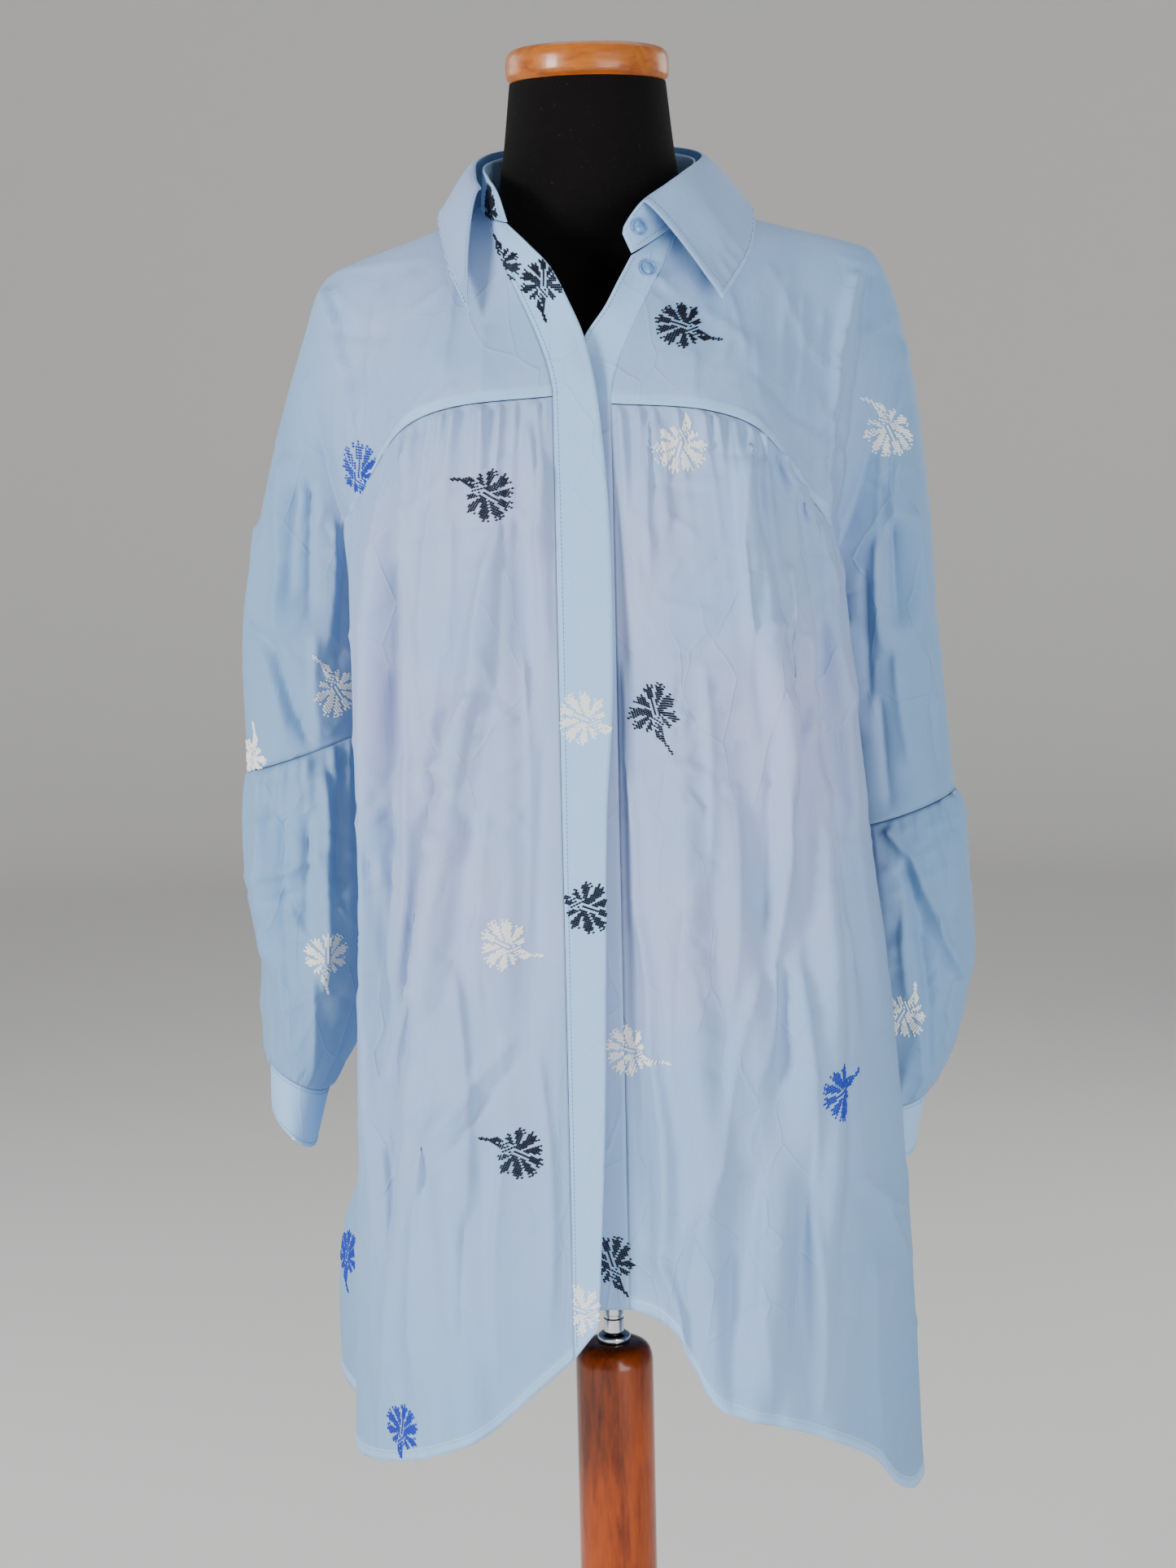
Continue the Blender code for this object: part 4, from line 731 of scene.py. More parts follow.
def body(side, back, share, z, lift=0.0):
    """Points of the body's outer face, lifted off its plain form by the folds and by what is asked."""
    share, z = np.broadcast_arrays(np.asarray(share, float), np.asarray(z, float))
    step = 0.002
    here = plan(side, back, share, z)
    ahead = plan(side, back, np.minimum(share + step, 1), z)
    ahead = ahead - plan(side, back, np.maximum(share - step, 0), z)
    out = unit(stack(ahead[..., 1], -ahead[..., 0])) * (-side if back else side)
    edge = np.minimum(1.0, (1.0 - share) / 0.10)
    if back:
        edge = edge * np.minimum(1.0, share / 0.10)
    move = fold_height((BACK_FOLDS if back else FRONT_FOLDS)[side], share, z) * edge + lift
    here = here + out * move[..., None]
    return stack(here[..., 0], here[..., 1], z)


def bezier(a, b, c, d, t):
    """Points of a curve from a to d that leaves towards b and comes in from c."""
    s = 1 - t
    return a * s**3 + b * (3 * s * s * t) + c * (3 * s * t * t) + d * t**3


def yoke(side, back, place, v):
    """Points of the yoke and upper sleeve: v runs from the yoke seam or underarm to the top line."""
    turn = -1 if back else 1
    place, v = np.broadcast_arrays(np.asarray(place, float), np.asarray(v, float))
    x, y, z, px, py, pz = at(TOP_LINE[side], place)
    top, pull = stack(x, y, z), stack(px, turn * py, pz)
    if back:
        end = BACK_NECK[-1][0]
        x, y, z, px, py, pz = at(BACK_NECK, place)
        z = z + (0.001 * place / end if side == LEFT else 0.0)
        neck = (place < end)[..., None]
        top = np.where(neck, stack(side * x, y, z), top)
        pull = np.where(neck, stack(side * px, py, pz), pull)
    on_body = np.minimum(place, SEAM_END)
    height = at(BACK_SEAM if back else FRONT_SEAM[side], on_body)[0]
    seam = body(side, back, on_body, height)
    up = unit(body(side, back, on_body, height + 0.02) - seam)
    seam = seam + up * SEAM_GAP * 2
    x, y, z, px, py, pz = at(UNDER_LINE[side], place)
    arm = stack(x, y - turn * at(UNDERARM_GAP, place)[0], z)
    arm_lift = stack(px, turn * py, pz)
    share = smooth((place - 0.70) / 0.30)[..., None]
    body_side = (place <= 1)[..., None]
    low = np.where(body_side, seam, arm)
    lift = np.where(body_side, up * SEAM_PULL * (1 - share) + arm_lift * share, arm_lift)
    return bezier(low, low + lift, top + pull, top, v[..., None])


def loop(rows, q, turn):
    """Points of a sleeve's rings: turn 0 is the inner line, 0.5 the outer one, through the front."""
    q, turn = np.broadcast_arrays(np.asarray(q, float), np.asarray(turn, float) % 1.0)
    ox, oy, oz, ix, iy, iz, front, rear = at(rows, q)
    outer, inner = stack(ox, oy, oz), stack(ix, iy, iz)
    forward, backward = stack(0.0, -front * 4 / 3, 0.0), stack(0.0, rear * 4 / 3, 0.0)
    t = turn[..., None]
    before = bezier(inner, inner + forward, outer + forward, outer, t * 2)
    behind = bezier(outer, outer + backward, inner + backward, inner, t * 2 - 1)
    return np.where(t <= 0.5, before, behind)


def front_line(side, way):
    """Points of the front's straight edge: way runs from 0 at the neck, past 1 at the yoke seam, to 2."""
    way = np.asarray(way, float)
    top, low = at(FRONT_SEAM[side], 0.0)[0], at(FRONT_HEM[side], 0.0)[0]
    upper = yoke(side, False, 0.0 * way, 1 - np.minimum(way, 1.0))
    lower = body(side, False, 0.0 * way, top - (top - low) * np.maximum(way - 1, 0.0))
    return np.where((way < 1)[..., None], upper, lower)


def strip(side, edge_rows, across, way):
    """Points of the placket or the band: from beside the front's edge to its own free edge."""
    line = front_line(side, way)
    edge = np.moveaxis(at(edge_rows, line[..., 2]), 0, -1)
    start = line + unit(edge - line) * (SEAM_GAP * 0.5 if side == RIGHT else 0.0)
    return start + (edge - start) * across[..., None]


def stand_point(u, v):
    """Points of the collar stand, with its two ends rounded off."""
    nx, ny, nz, tx, ty, tz = at(STAND, u)
    low, high = stack(nx, ny, nz), stack(tx, ty, tz)
    edge = np.minimum(u, 1 - u) / 0.06
    circle = 1 - np.sqrt(np.maximum(0.0, 1 - (1 - np.minimum(edge, 1)) ** 2))
    inset = np.where(edge < 1, 0.30 * circle, 0.0)
    return low + (high - low) * (v * (1 - inset))[..., None]


def leaf_point(u, v):
    """Points of the collar leaf, from its roll to its outer edge."""
    rx, ry, rz, ox, oy, oz, off = at(LEAF, u)
    roll, edge = stack(rx * ROLL_IN, ry * ROLL_IN, rz), stack(ox, oy, oz)
    away = unit(stack(roll[..., 0], roll[..., 1], 0.0)) * off[..., None]
    rise = stack(0.0, 0.0, 0.4 * off)
    return bezier(roll, roll + away + rise, roll + (edge - roll) * 0.6 + away, edge, v[..., None])


def shader(name, **sockets):
    """A new material with the values that are the same all over it set on its own sockets."""
    made = bpy.data.materials.new(name)
    made.use_nodes = True
    principled = made.node_tree.nodes["Principled BSDF"]
    for key, value in sockets.items():
        principled.inputs[key.replace("_", " ")].default_value = value
    return made


def put(material, kind, settings=None, **sockets):
    """A node of a material.

    A socket is given by its name, or as i and its number. It takes a value or another node's output.
    """
    tree = material.node_tree
    made = tree.nodes.new("ShaderNode" + kind)
    for key, value in (settings or {}).items():
        setattr(made, key, value)
    for key, value in sockets.items():
        numbered = key[0] == "i" and key[1:].isdigit()
        socket = made.inputs[int(key[1:]) if numbered else key.replace("_", " ")]
        if isinstance(value, bpy.types.NodeSocket):
            tree.links.new(value, socket)
        else:
            socket.default_value = value
    return made


def wire(material, output, socket):
    """Links a node's output to a socket of the material's shader."""
    principled = material.node_tree.nodes["Principled BSDF"]
    material.node_tree.links.new(output, principled.inputs[socket])


def scaled(material, source, scale):
    """The source's coordinates, stretched."""
    return put(material, "Mapping", {"vector_type": "POINT"}, Vector=source, Scale=scale).outputs[0]


def ramp(material, value, *stops):
    """Colours by value. A stop is its place and its colour."""
    made = put(material, "ValToRGB", i0=value)
    elements = made.color_ramp.elements
    while len(elements) < len(stops):
        elements.new(0.5)
    for element, (place, colour) in zip(elements, stops):
        element.position = place
        element.color = colour if len(colour) == 4 else (*colour, 1.0)
    return made.outputs[0]


def mixed(material, factor, a, b, way="MIX"):
    """Two colours mixed by a factor."""
    made = put(material, "Mix", {"data_type": "RGBA", "blend_type": way, "clamp_factor": True})
    tree = material.node_tree
    for index, value in ((0, factor), (6, a), (7, b)):
        if isinstance(value, bpy.types.NodeSocket):
            tree.links.new(value, made.inputs[index])
        else:
            made.inputs[index].default_value = value
    return made.outputs[2]


def sums(material, way, a, b):
    """A sum of two values, worked out in the way that is named."""
    return put(material, "Math", {"operation": way}, i0=a, i1=b).outputs[0]


def noise(material, source, scale, **settings):
    """Noise on the source's coordinates, stretched by scale."""
    place = scaled(material, source, scale)
    return put(material, "TexNoise", Vector=place, Scale=1.0, **settings).outputs[0]


def rgb(r, g, b):
    """A colour as seen on screen, in 0 to 255, as the shader's linear values."""
    shares = (c / 255 for c in (r, g, b))
    return tuple(((c + 0.055) / 1.055) ** 2.4 if c > 10 / 255 else c / 12.92 for c in shares) + (1.0,)


# Colours of the cloth and threads
COTTON_BLUE = rgb(130, 172, 213)
# Sleeve blue, darker than the body's: painted shade on the sleeves
COTTON_SLEEVE_PAINTED_SHADE = rgb(118, 158, 198)
# Lilac blue: painted lilac light over the body's middle
COTTON_PAINTED_LILAC_LIGHT = rgb(164, 176, 214)
COTTON_DOUBLE = rgb(152, 191, 231)
NAVY, IVORY, ROYAL = rgb(5, 8, 30), rgb(255, 254, 247), rgb(30, 58, 176)


def cotton_cloth():
    """Plain-woven cotton: fine warp and weft with slubs, soft sheen, pressed-in crumples.

    It is paler where doubled, has painted shade on the sleeves and painted lilac light on the body's middle.
    """
    m = shader("cotton_poplin", Roughness=0.72, Sheen_Weight=0.06, Sheen_Roughness=0.4)
    weave = put(m, "UVMap", {"uv_map": "cloth"}).outputs[0]
    space = put(m, "TexCoord").outputs["Object"]
    warp = noise(m, weave, (2600.0, 42.0, 1.0), Detail=2.0)
    weft = noise(m, weave, (36.0, 2400.0, 1.0), Detail=2.0)
    slub = noise(m, weave, (420.0, 9.0, 1.0), Detail=4.0)
    # Patches of noise that break up the painted lilac light
    patch = put(m, "TexNoise", Vector=space, Scale=5.5, Detail=3.0, Roughness=0.55).outputs[0]
    across, _, height = put(m, "SeparateXYZ", Vector=space).outputs
    out = sums(m, "ABSOLUTE", across, 0.0)
    # 1 over the body, 0 on the sleeves beyond it: where the sleeves take the painted shade colour
    body = put(m, "MapRange", i0=out, i1=0.165, i2=0.235, i3=1.0, i4=0.0).outputs[0]
    # Painted lilac light: strongest a little above the body's middle height, broken up by the patches, kept
    # off the sleeves
    middle = ramp(m, put(m, "MapRange", i0=height, i1=0.45, i2=1.45).outputs[0],
                  (0.0, (0, 0, 0)), (0.42, (0.75, 0.75, 0.75)), (0.66, (1, 1, 1)), (0.95, (0.5, 0.5, 0.5)))
    painted_lilac_light = sums(m, "MULTIPLY", middle, ramp(m, patch, (0.36, (0.25, 0.25, 0.25)), (0.64, (1, 1, 1))))
    painted_lilac_light = sums(m, "MULTIPLY", painted_lilac_light, body)
    # Sleeves get the painted shade colour, and the body's middle the painted lilac light
    colour = mixed(m, painted_lilac_light, mixed(m, body, COTTON_SLEEVE_PAINTED_SHADE, COTTON_BLUE), COTTON_PAINTED_LILAC_LIGHT)
    doubled = put(m, "Attribute", {"attribute_name": "double_cloth"}).outputs["Fac"]
    colour = mixed(m, doubled, colour, COTTON_DOUBLE)
    threads = sums(m, "ADD", sums(m, "MULTIPLY", warp, 0.55), sums(m, "MULTIPLY", weft, 0.45))
    shade = ramp(m, sums(m, "ADD", sums(m, "MULTIPLY", threads, 0.6), sums(m, "MULTIPLY", slub, 0.4)),
                 (0.36, (0.90, 0.91, 0.93)), (0.62, (1.0, 1.0, 1.0)))
    colour = mixed(m, 0.55, colour, shade, "MULTIPLY")
    wire(m, colour, "Base Color")
    wide = scaled(m, space, (15.0, 15.0, 8.0))
    crumple = put(m, "TexNoise", {"noise_type": "RIDGED_MULTIFRACTAL"}, Vector=wide, Scale=1.0, Detail=4.0,
                  Roughness=0.45, Distortion=0.8).outputs[0]
    fine = noise(m, space, (95.0, 95.0, 55.0), Detail=3.0, Distortion=0.5)
    bent = put(m, "MixRGB", {"blend_type": "ADD"}, Fac=0.55, Color1=scaled(m, space, (27.0, 27.0, 15.0)),
               Color2=put(m, "TexNoise", Vector=space, Scale=9.0, Detail=3.0).outputs["Color"]).outputs[0]
    cells = put(m, "TexVoronoi", {"feature": "DISTANCE_TO_EDGE"}, Vector=bent, Scale=1.0)
    edges = cells.outputs["Distance"]
    where = ramp(m, noise(m, space, (8.0, 8.0, 5.0), Detail=2.0), (0.44, (0, 0, 0)), (0.60, (1, 1, 1)))
    pinched = ramp(m, edges, (0.0, (1, 1, 1)), (0.035, (0.25, 0.25, 0.25)), (0.14, (0, 0, 0)))
    nips = put(m, "Bump", Strength=0.6, Distance=0.0009, Height=sums(m, "MULTIPLY", pinched, where))
    press = put(m, "Bump", Strength=0.80, Distance=0.0050, Height=crumple, Normal=nips.outputs[0])
    small = put(m, "Bump", Strength=0.50, Distance=0.0009, Height=fine, Normal=press.outputs[0])
    grain = put(m, "Bump", Strength=0.30, Distance=0.00018, Height=threads, Normal=small.outputs[0])
    wire(m, grain.outputs[0], "Normal")
    return m


def thread(name, colour, shine):
    """Stranded cotton thread: fine twisted strands with a soft sheen."""
    m = shader(name, Roughness=shine, Sheen_Weight=0.02, Sheen_Roughness=0.35, Specular_IOR_Level=0.22)
    space = put(m, "TexCoord").outputs["Object"]
    strands = noise(m, space, (3200.0, 3200.0, 900.0), Detail=2.0)
    dark = tuple(c * 0.86 for c in colour[:3]) + (1.0,)
    light = tuple(min(1.0, c * 1.18 + 0.004) for c in colour[:3]) + (1.0,)
    wire(m, ramp(m, strands, (0.32, dark), (0.68, light)), "Base Color")
    wire(m, put(m, "Bump", Strength=0.35, Distance=0.0001, Height=strands).outputs[0], "Normal")
    return m


def form_jersey():
    """Black knitted cover, slightly worn, with a little lint."""
    m = shader("form_jersey", Roughness=0.95, Sheen_Weight=0.01, Sheen_Roughness=0.5,
               Specular_IOR_Level=0.15)
    space = put(m, "TexCoord").outputs["Object"]
    knit = put(m, "TexWave", {"wave_type": "BANDS", "bands_direction": "X"}, Scale=1.0, Distortion=2.0,
               Detail=2.0, Vector=scaled(m, space, (700.0, 700.0, 60.0))).outputs["Fac"]
    cloud = put(m, "TexNoise", Vector=space, Scale=14.0, Detail=4.0).outputs[0]
    lint = noise(m, space, (420.0, 420.0, 420.0), Detail=1.0)
    black = ramp(m, cloud, (0.3, rgb(4, 3, 3)), (0.75, rgb(9, 7, 7)))
    black = mixed(m, ramp(m, lint, (0.70, (0, 0, 0)), (0.80, (0.5, 0.5, 0.5))), black, rgb(46, 45, 44))
    wire(m, black, "Base Color")
    wire(m, put(m, "Bump", Strength=0.35, Distance=0.0003, Height=knit).outputs[0], "Normal")
    return m


def turned_wood(name, light, dark, grain, rough, coat):
    """Lacquered turned wood with grain running along it."""
    m = shader(name, Roughness=rough, Coat_Weight=coat, Coat_Roughness=0.12, Specular_IOR_Level=0.35)
    space = put(m, "TexCoord").outputs["Object"]
    wavy = noise(m, space, grain, Detail=5.0, Roughness=0.6, Distortion=1.1)
    fibre = noise(m, space, tuple(9 * g for g in grain), Detail=3.0)
    both = sums(m, "ADD", sums(m, "MULTIPLY", wavy, 0.72), sums(m, "MULTIPLY", fibre, 0.28))
    between = tuple((a * 0.55 + b * 0.45) for a, b in zip(light, dark))
    wire(m, ramp(m, both, (0.36, dark), (0.50, between), (0.66, light)), "Base Color")
    wire(m, put(m, "Bump", Strength=0.12, Distance=0.0004, Height=fibre).outputs[0], "Normal")
    return m


def polished_steel():
    """Chromed steel with faint smears."""
    m = shader("polished_steel", Metallic=1.0, Base_Color=rgb(214, 215, 218))
    space = put(m, "TexCoord").outputs["Object"]
    smear = noise(m, space, (60.0, 60.0, 14.0), Detail=3.0)
    wire(m, put(m, "MapRange", i0=smear, i3=0.08, i4=0.22).outputs[0], "Roughness")
    return m


def button_resin():
    """Glossy, slightly clouded blue resin."""
    m = shader("button_resin", Roughness=0.28, Coat_Weight=0.4, Coat_Roughness=0.1, Subsurface_Weight=0.35,
               Subsurface_Scale=0.004, Subsurface_Radius=(0.5, 0.8, 1.0))
    space = put(m, "TexCoord").outputs["Object"]
    cloud = put(m, "TexNoise", Vector=space, Scale=260.0, Detail=3.0).outputs[0]
    wire(m, ramp(m, cloud, (0.35, rgb(84, 132, 184)), (0.7, rgb(120, 168, 214))), "Base Color")
    return m


COTTON = cotton_cloth()
THREADS = {
    "navy": thread("navy_thread", NAVY, 0.55),
    "ivory": thread("ivory_thread", IVORY, 0.60),
    "blue": thread("royal_blue_thread", ROYAL, 0.55),
    "pale": thread("pale_sewing_thread", rgb(92, 128, 172), 0.6),
    "hem": thread("hem_sewing_thread", rgb(204, 220, 236), 0.6),
}


# How much all creases are raised
CREASE_HIGH = 1.7
# Gathers. Columns: how many, tallest height, longest length.
FRONT_PLEATS = (31, 0.0112, 0.125)
BACK_PLEATS = (38, 0.0105, 0.125)
ELBOW_PLEATS = (42, 0.0070, 0.065)
WRIST_PLEATS = (36, 0.0050, 0.045)


def gathers(place, below, sizes, phase):
    """How far small uneven gathers lift the cloth.

    place runs from 0 to 1 along the seam, and below is the distance from it.
    """
    count, high, length = sizes
    total = 0.0 * place
    for n in range(count):
        wobble = math.sin(2.3 * n + phase) * 0.34 + math.sin(5.1 * n + 2 * phase) * 0.16
        middle = (n + 0.5 + wobble) / count
        reach = length * (0.30 + 0.85 * abs(math.sin(1.7 * n + phase)) ** 2)
        width = (0.30 + 0.13 * math.sin(3.7 * n + phase)) / count
        tall = high * (0.50 + 0.50 * math.sin(2.9 * n + 1.3 * phase)) * width * count / 0.5
        drift = 0.9 * math.sin(4.3 * n + phase) / count
        spread = 1 + 1.2 * np.clip(below / reach, 0, 2)
        off = (place - middle - drift * np.clip(below / length, 0, 1.5)) / (width * spread)
        fade = np.exp(-((np.maximum(below, 0) / reach) ** 1.3))
        total = total + tall * np.exp(-off * off) * fade * np.minimum(1.0, np.maximum(below, 0) / 0.004)
    return total


def creases(points, rows):
    """How far creases move the cloth, as seen from the front."""
    x, z = points[..., 0], points[..., 2]
    total = 0.0 * x
    for x0, z0, x1, z1, half, high, lean in rows:
        long = math.hypot(x1 - x0, z1 - z0)
        dx, dz = (x1 - x0) / long, (z1 - z0) / long
        along = ((x - x0) * dx + (z - z0) * dz) / long
        off = (x - x0) * -dz + (z - z0) * dx
        off = off + 0.05 * long * np.sin(np.pi * np.clip(along, 0, 1)) * lean
        wide = np.where(off > 0, half * (1 + 0.75 * lean), half * (1 - 0.75 * lean))
        wide = np.maximum(wide * (0.45 + 0.75 * np.clip(along, 0, 1.2)), 0.0024)
        ends = smooth(along / 0.18 + 0.35) * smooth((1 - along) / 0.30 + 0.35)
        total = total + CREASE_HIGH * high * ends * np.exp(-((np.abs(off) / wide) ** 1.12))
    return total


def crumples(points, count, seed, box, turn=0.0):
    """Small pressed-in creases, spread unevenly over a box of x and z."""
    (x0, z0), (x1, z1) = box
    rows = []
    for n in range(count):
        a, b, c = (abs(math.sin(seed + k * n) * 43.7) % 1.0 for k in (1.37, 2.71, 3.19))
        x, z = x0 + (x1 - x0) * a, z0 + (z1 - z0) * b
        way = turn + 2.4 * (c - 0.5) + (0.0 if n % 3 else math.pi / 2)
        long = 0.018 + 0.075 * (a * b + 0.3 * c)
        tall = (0.0004 + 0.0007 * b) * (1 if n % 2 else -1)
        end_x, end_z = x + long * math.sin(way), z - long * math.cos(way)
        rows.append((x, z, end_x, end_z, 0.0024 + 0.0016 * c, tall, 1.4 * (a - 0.5)))
    return creases(points, rows)


def normals(points, sign):
    """The directions that a grid of points faces."""
    along, down = np.gradient(points, axis=0), np.gradient(points, axis=1)
    return unit(np.cross(along, down)) * sign


def ripple(points, size, seed):
    """The slight unevenness of pressed cotton, from a sum of slanting waves."""
    x, y, z = points[..., 0], points[..., 1], points[..., 2]
    total = 0.0 * x
    for n in range(1, 9):
        a, b = math.sin(12.9 * n + seed) * 60, math.cos(7.7 * n + 2 * seed) * 34
        bend = 0.9 * np.sin(23 * x + 17 * z * math.sin(n) + n)
        total = total + np.sin(a * x + b * z + 0.6 * a * y + bend + 1.9 * n * seed)
    return size * total / 4


# Finished cut pieces, for what is sewn on them: places across and down, points, directions they face
PIECES = {}


def cloth(name, us, vs, points, sign, double=None, thick=CLOTH, ring=False):
    """One cut piece of the shirt from its grid of points, which stands for the solid of its name."""
    nu, nv = len(us), len(vs)
    face = normals(points, sign)
    PIECES[name] = (np.array(us, float), np.array(vs, float), points, face)
    double = np.zeros((nu, nv)) if double is None else double
    middle_u, middle_v = points[:, nv // 2], points[nu // 2]
    gone_u = np.concatenate(([0], np.cumsum(np.linalg.norm(np.diff(middle_u, axis=0), axis=1))))
    gone_v = np.concatenate(([0], np.cumsum(np.linalg.norm(np.diff(middle_v, axis=0), axis=1))))
    bm = bmesh.new()
    bmesh.ops.create_grid(bm, x_segments=nu - 1, y_segments=nv - 1, size=0.5)
    twice = bm.verts.layers.float.new("double_cloth")
    uv = bm.loops.layers.uv.new("cloth")
    where = {}
    for vert in bm.verts:
        i, j = round((vert.co.x + 0.5) * (nu - 1)), round((vert.co.y + 0.5) * (nv - 1))
        where[vert] = (i, j)
        vert.co = points[i, j]
        vert[twice] = double[i, j]
    for surface in bm.faces:
        for corner in surface.loops:
            i, j = where[corner.vert]
            corner[uv].uv = (gone_u[i], gone_v[j])
    if ring:
        bmesh.ops.remove_doubles(bm, verts=bm.verts, dist=1e-5)
    if sign < 0:
        bmesh.ops.reverse_faces(bm, faces=bm.faces)
    mesh = bpy.data.meshes.new(name)
    bm.to_mesh(mesh)
    bm.free()
    mesh.shade_smooth()
    mesh.materials.append(COTTON)
    piece = bpy.data.objects.new(name + "_cloth", mesh)
    bpy.context.scene.collection.objects.link(piece)
    wall = piece.modifiers.new("wall", "SOLIDIFY")
    wall.thickness = thick
    wall.offset = -1.0
    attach(piece, "root")
    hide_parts(name)


def evenly(first, last, steps):
    """Even steps from first to last, both included."""
    return np.linspace(first, last, steps + 1)


def shares(count):
    """Places across a front panel, just inside its two edges."""
    return evenly(0.0006, 0.9994, count)


def rows_down(count, crowd=1.25):
    """Places down a panel, closer together at its top."""
    return evenly(0.0, 1.0, count) ** crowd


def body_panel(side, back, share, v, pleats, phase):
    """The points of a body panel with its folds and gathers, and how far below its yoke seam they are."""
    top = at(BACK_SEAM if back else FRONT_SEAM[side], share)[0]
    low = at((BACK_HEM if back else FRONT_HEM)[side], share)[0]
    below = v * (top - low)
    lift = gathers(share, below, pleats, phase) * smooth(share / 0.04) * smooth((1 - share) / 0.05)
    return body(side, back, share, top - below, lift), below


def hem_band(below, length):
    """How far the doubled hem reaches: 1 in it and 0 above it."""
    return smooth((HEM_BAND - (length - below)) / DOUBLED_SOFT + 0.5)


def front_panel(side, name):
    """A gathered front panel with its folds, its creases and its hem."""
    us, vs = shares(140), rows_down(200)
    share, v = np.meshgrid(us, vs, indexing="ij")
    points, below = body_panel(side, False, share, v, FRONT_PLEATS, 1.1 + side)
    sign = -side
    face = normals(points, sign)
    top, low = at(FRONT_SEAM[side], share)[0], at(FRONT_HEM[side], share)[0]
    band = hem_band(below, top - low)
    calm = smooth(share / 0.05) * smooth((1 - share) / 0.07) * smooth(below / 0.02)
    move = creases(points, FRONT_CREASES[side]) + ripple(points, 0.0004, 1.7 + side)
    move = move + crumples(points, 150, 3.3 + side, ((side * 0.02, 0.48), (side * 0.24, 1.26)), 0.3 * side)
    points = points + face * (move * calm + DOUBLED_RISE * band)[..., None]
    cloth(name, us, vs, points, sign, double=band)


def back_panel(name):
    """The gathered back panel, from the wearer's right side seam to the left one."""
    us, vs = evenly(-0.9994, 0.9994, 196), rows_down(150)
    place, v = np.meshgrid(us, vs, indexing="ij")
    halves = []
    for side in (RIGHT, LEFT):
        half, below = body_panel(side, True, np.abs(place), v, BACK_PLEATS, 2.6)
        top, low = at(BACK_SEAM, np.abs(place))[0], at(BACK_HEM[side], np.abs(place))[0]
        halves.append((half, below, hem_band(below, top - low)))
    left = place > 0
    points = np.where(left[..., None], halves[1][0], halves[0][0])
    below, band = (np.where(left, halves[1][k], halves[0][k]) for k in (1, 2))
    face = normals(points, 1)
    calm = smooth((1 - np.abs(place)) / 0.05) * smooth(below / 0.02)
    move = creases(points, BACK_CREASES) + ripple(points, 0.0004, 4.2)
    move = move + crumples(points, 240, 5.1, ((-0.23, 0.48), (0.23, 1.26)))
    points = points + face * (move * calm + DOUBLED_RISE * band)[..., None]
    cloth(name, us, vs, points, 1, double=band)


def yoke_places(count_body, count_sleeve):
    """Places along a yoke: 0 to 1 on the body and on to 2 at the elbow."""
    return np.concatenate((evenly(0.0, 1.0, count_body)[:-1], evenly(1.0, 1.9985, count_sleeve)))


def yoke_face(points, side, back, place, v, rows, phase):
    """A yoke's points with its creases, and how far its doubled seam allowances reach."""
    sign = -1 if back else side
    face = normals(points, sign)
    from_seam = np.linalg.norm(points - points[:, :1], axis=-1)
    band = smooth((SEAM_BAND - from_seam) / DOUBLED_SOFT + 0.5) * smooth((1.02 - place) / 0.03)
    calm = smooth(v / 0.08) * smooth((1 - v) / 0.10) * smooth((1.9985 - place) / 0.06)
    move = creases(points, rows) + ripple(points, 0.0005, phase)
    spread = ((-0.29, 1.00), (0.29, 1.42)) if back else ((side * 0.04, 1.00), (side * 0.29, 1.40))
    move = move + crumples(points, 160 if back else 90, 7.7 + phase, spread)
    return points + face * (move * calm + DOUBLED_RISE * band)[..., None], band, sign


def front_yoke(side, name):
    """A front yoke with the front half of its upper sleeve."""
    us, vs = yoke_places(86, 76), evenly(0.0, 0.9975, 62)
    place, v = np.meshgrid(us, vs, indexing="ij")
    points = yoke(side, False, place, v)
    points, band, sign = yoke_face(points, side, False, place, v, YOKE_CREASES[side], 0.4 + side)
    cloth(name, us, vs, points, sign, double=band)


def back_yoke(name):
    """The back yoke with the back halves of both upper sleeves."""
    half = yoke_places(84, 70)
    us, vs = np.concatenate((-half[::-1], half[1:])), evenly(0.0, 0.9975, 54)
    place, v = np.meshgrid(us, vs, indexing="ij")
    out = np.abs(place)
    points = np.where((place > 0)[..., None], yoke(LEFT, True, out, v), yoke(RIGHT, True, out, v))
    points, band, sign = yoke_face(points, LEFT, True, out, v, BACK_YOKE_CREASES, 2.9)
    cloth(name, us, vs, points, sign, double=band)


def ring_face(points, side):
    """The outward directions of a sleeve's rings, which join round the back."""
    wrapped = np.concatenate((points[-2:-1], points, points[1:2]))
    return normals(wrapped, -side)[1:-1]


def lower_sleeve(side, name):
    """A puffed lower sleeve, gathered at the elbow seam and into the cuff."""
    us, vs = evenly(0.0, 1.0, 140), evenly(0.0, 0.9995, 84)
    turn, q = np.meshgrid(us, vs, indexing="ij")
    points = loop(LOWER_SLEEVE[side], q, turn)
    face = ring_face(points, side)
    length = 0.24
    lift = gathers(turn, q * length, ELBOW_PLEATS, 0.7 + side)
    lift = lift + gathers(turn, (1 - q) * length, WRIST_PLEATS, 2.7 + side)
    calm = smooth(q / 0.05) * smooth((1 - q) / 0.05)
    ahead = smooth((0.5 - turn) / 0.06 + 0.5) * smooth(turn / 0.06)
    folds = ahead * creases(points, SLEEVE_CREASES[side])
    folds = folds + (1 - ahead) * creases(points, SLEEVE_BACK_CREASES[side])
    lift = lift + calm * (folds + ripple(points, 0.0008, 3.1 + side))
    lift = lift + calm * crumples(points, 50, 1.9 + side, ((side * 0.21, 0.77), (side * 0.28, 1.02)))
    lift[-1] = lift[0]
    points = points + face * lift[..., None]
    cloth(name, us, vs, points, -side, ring=True)


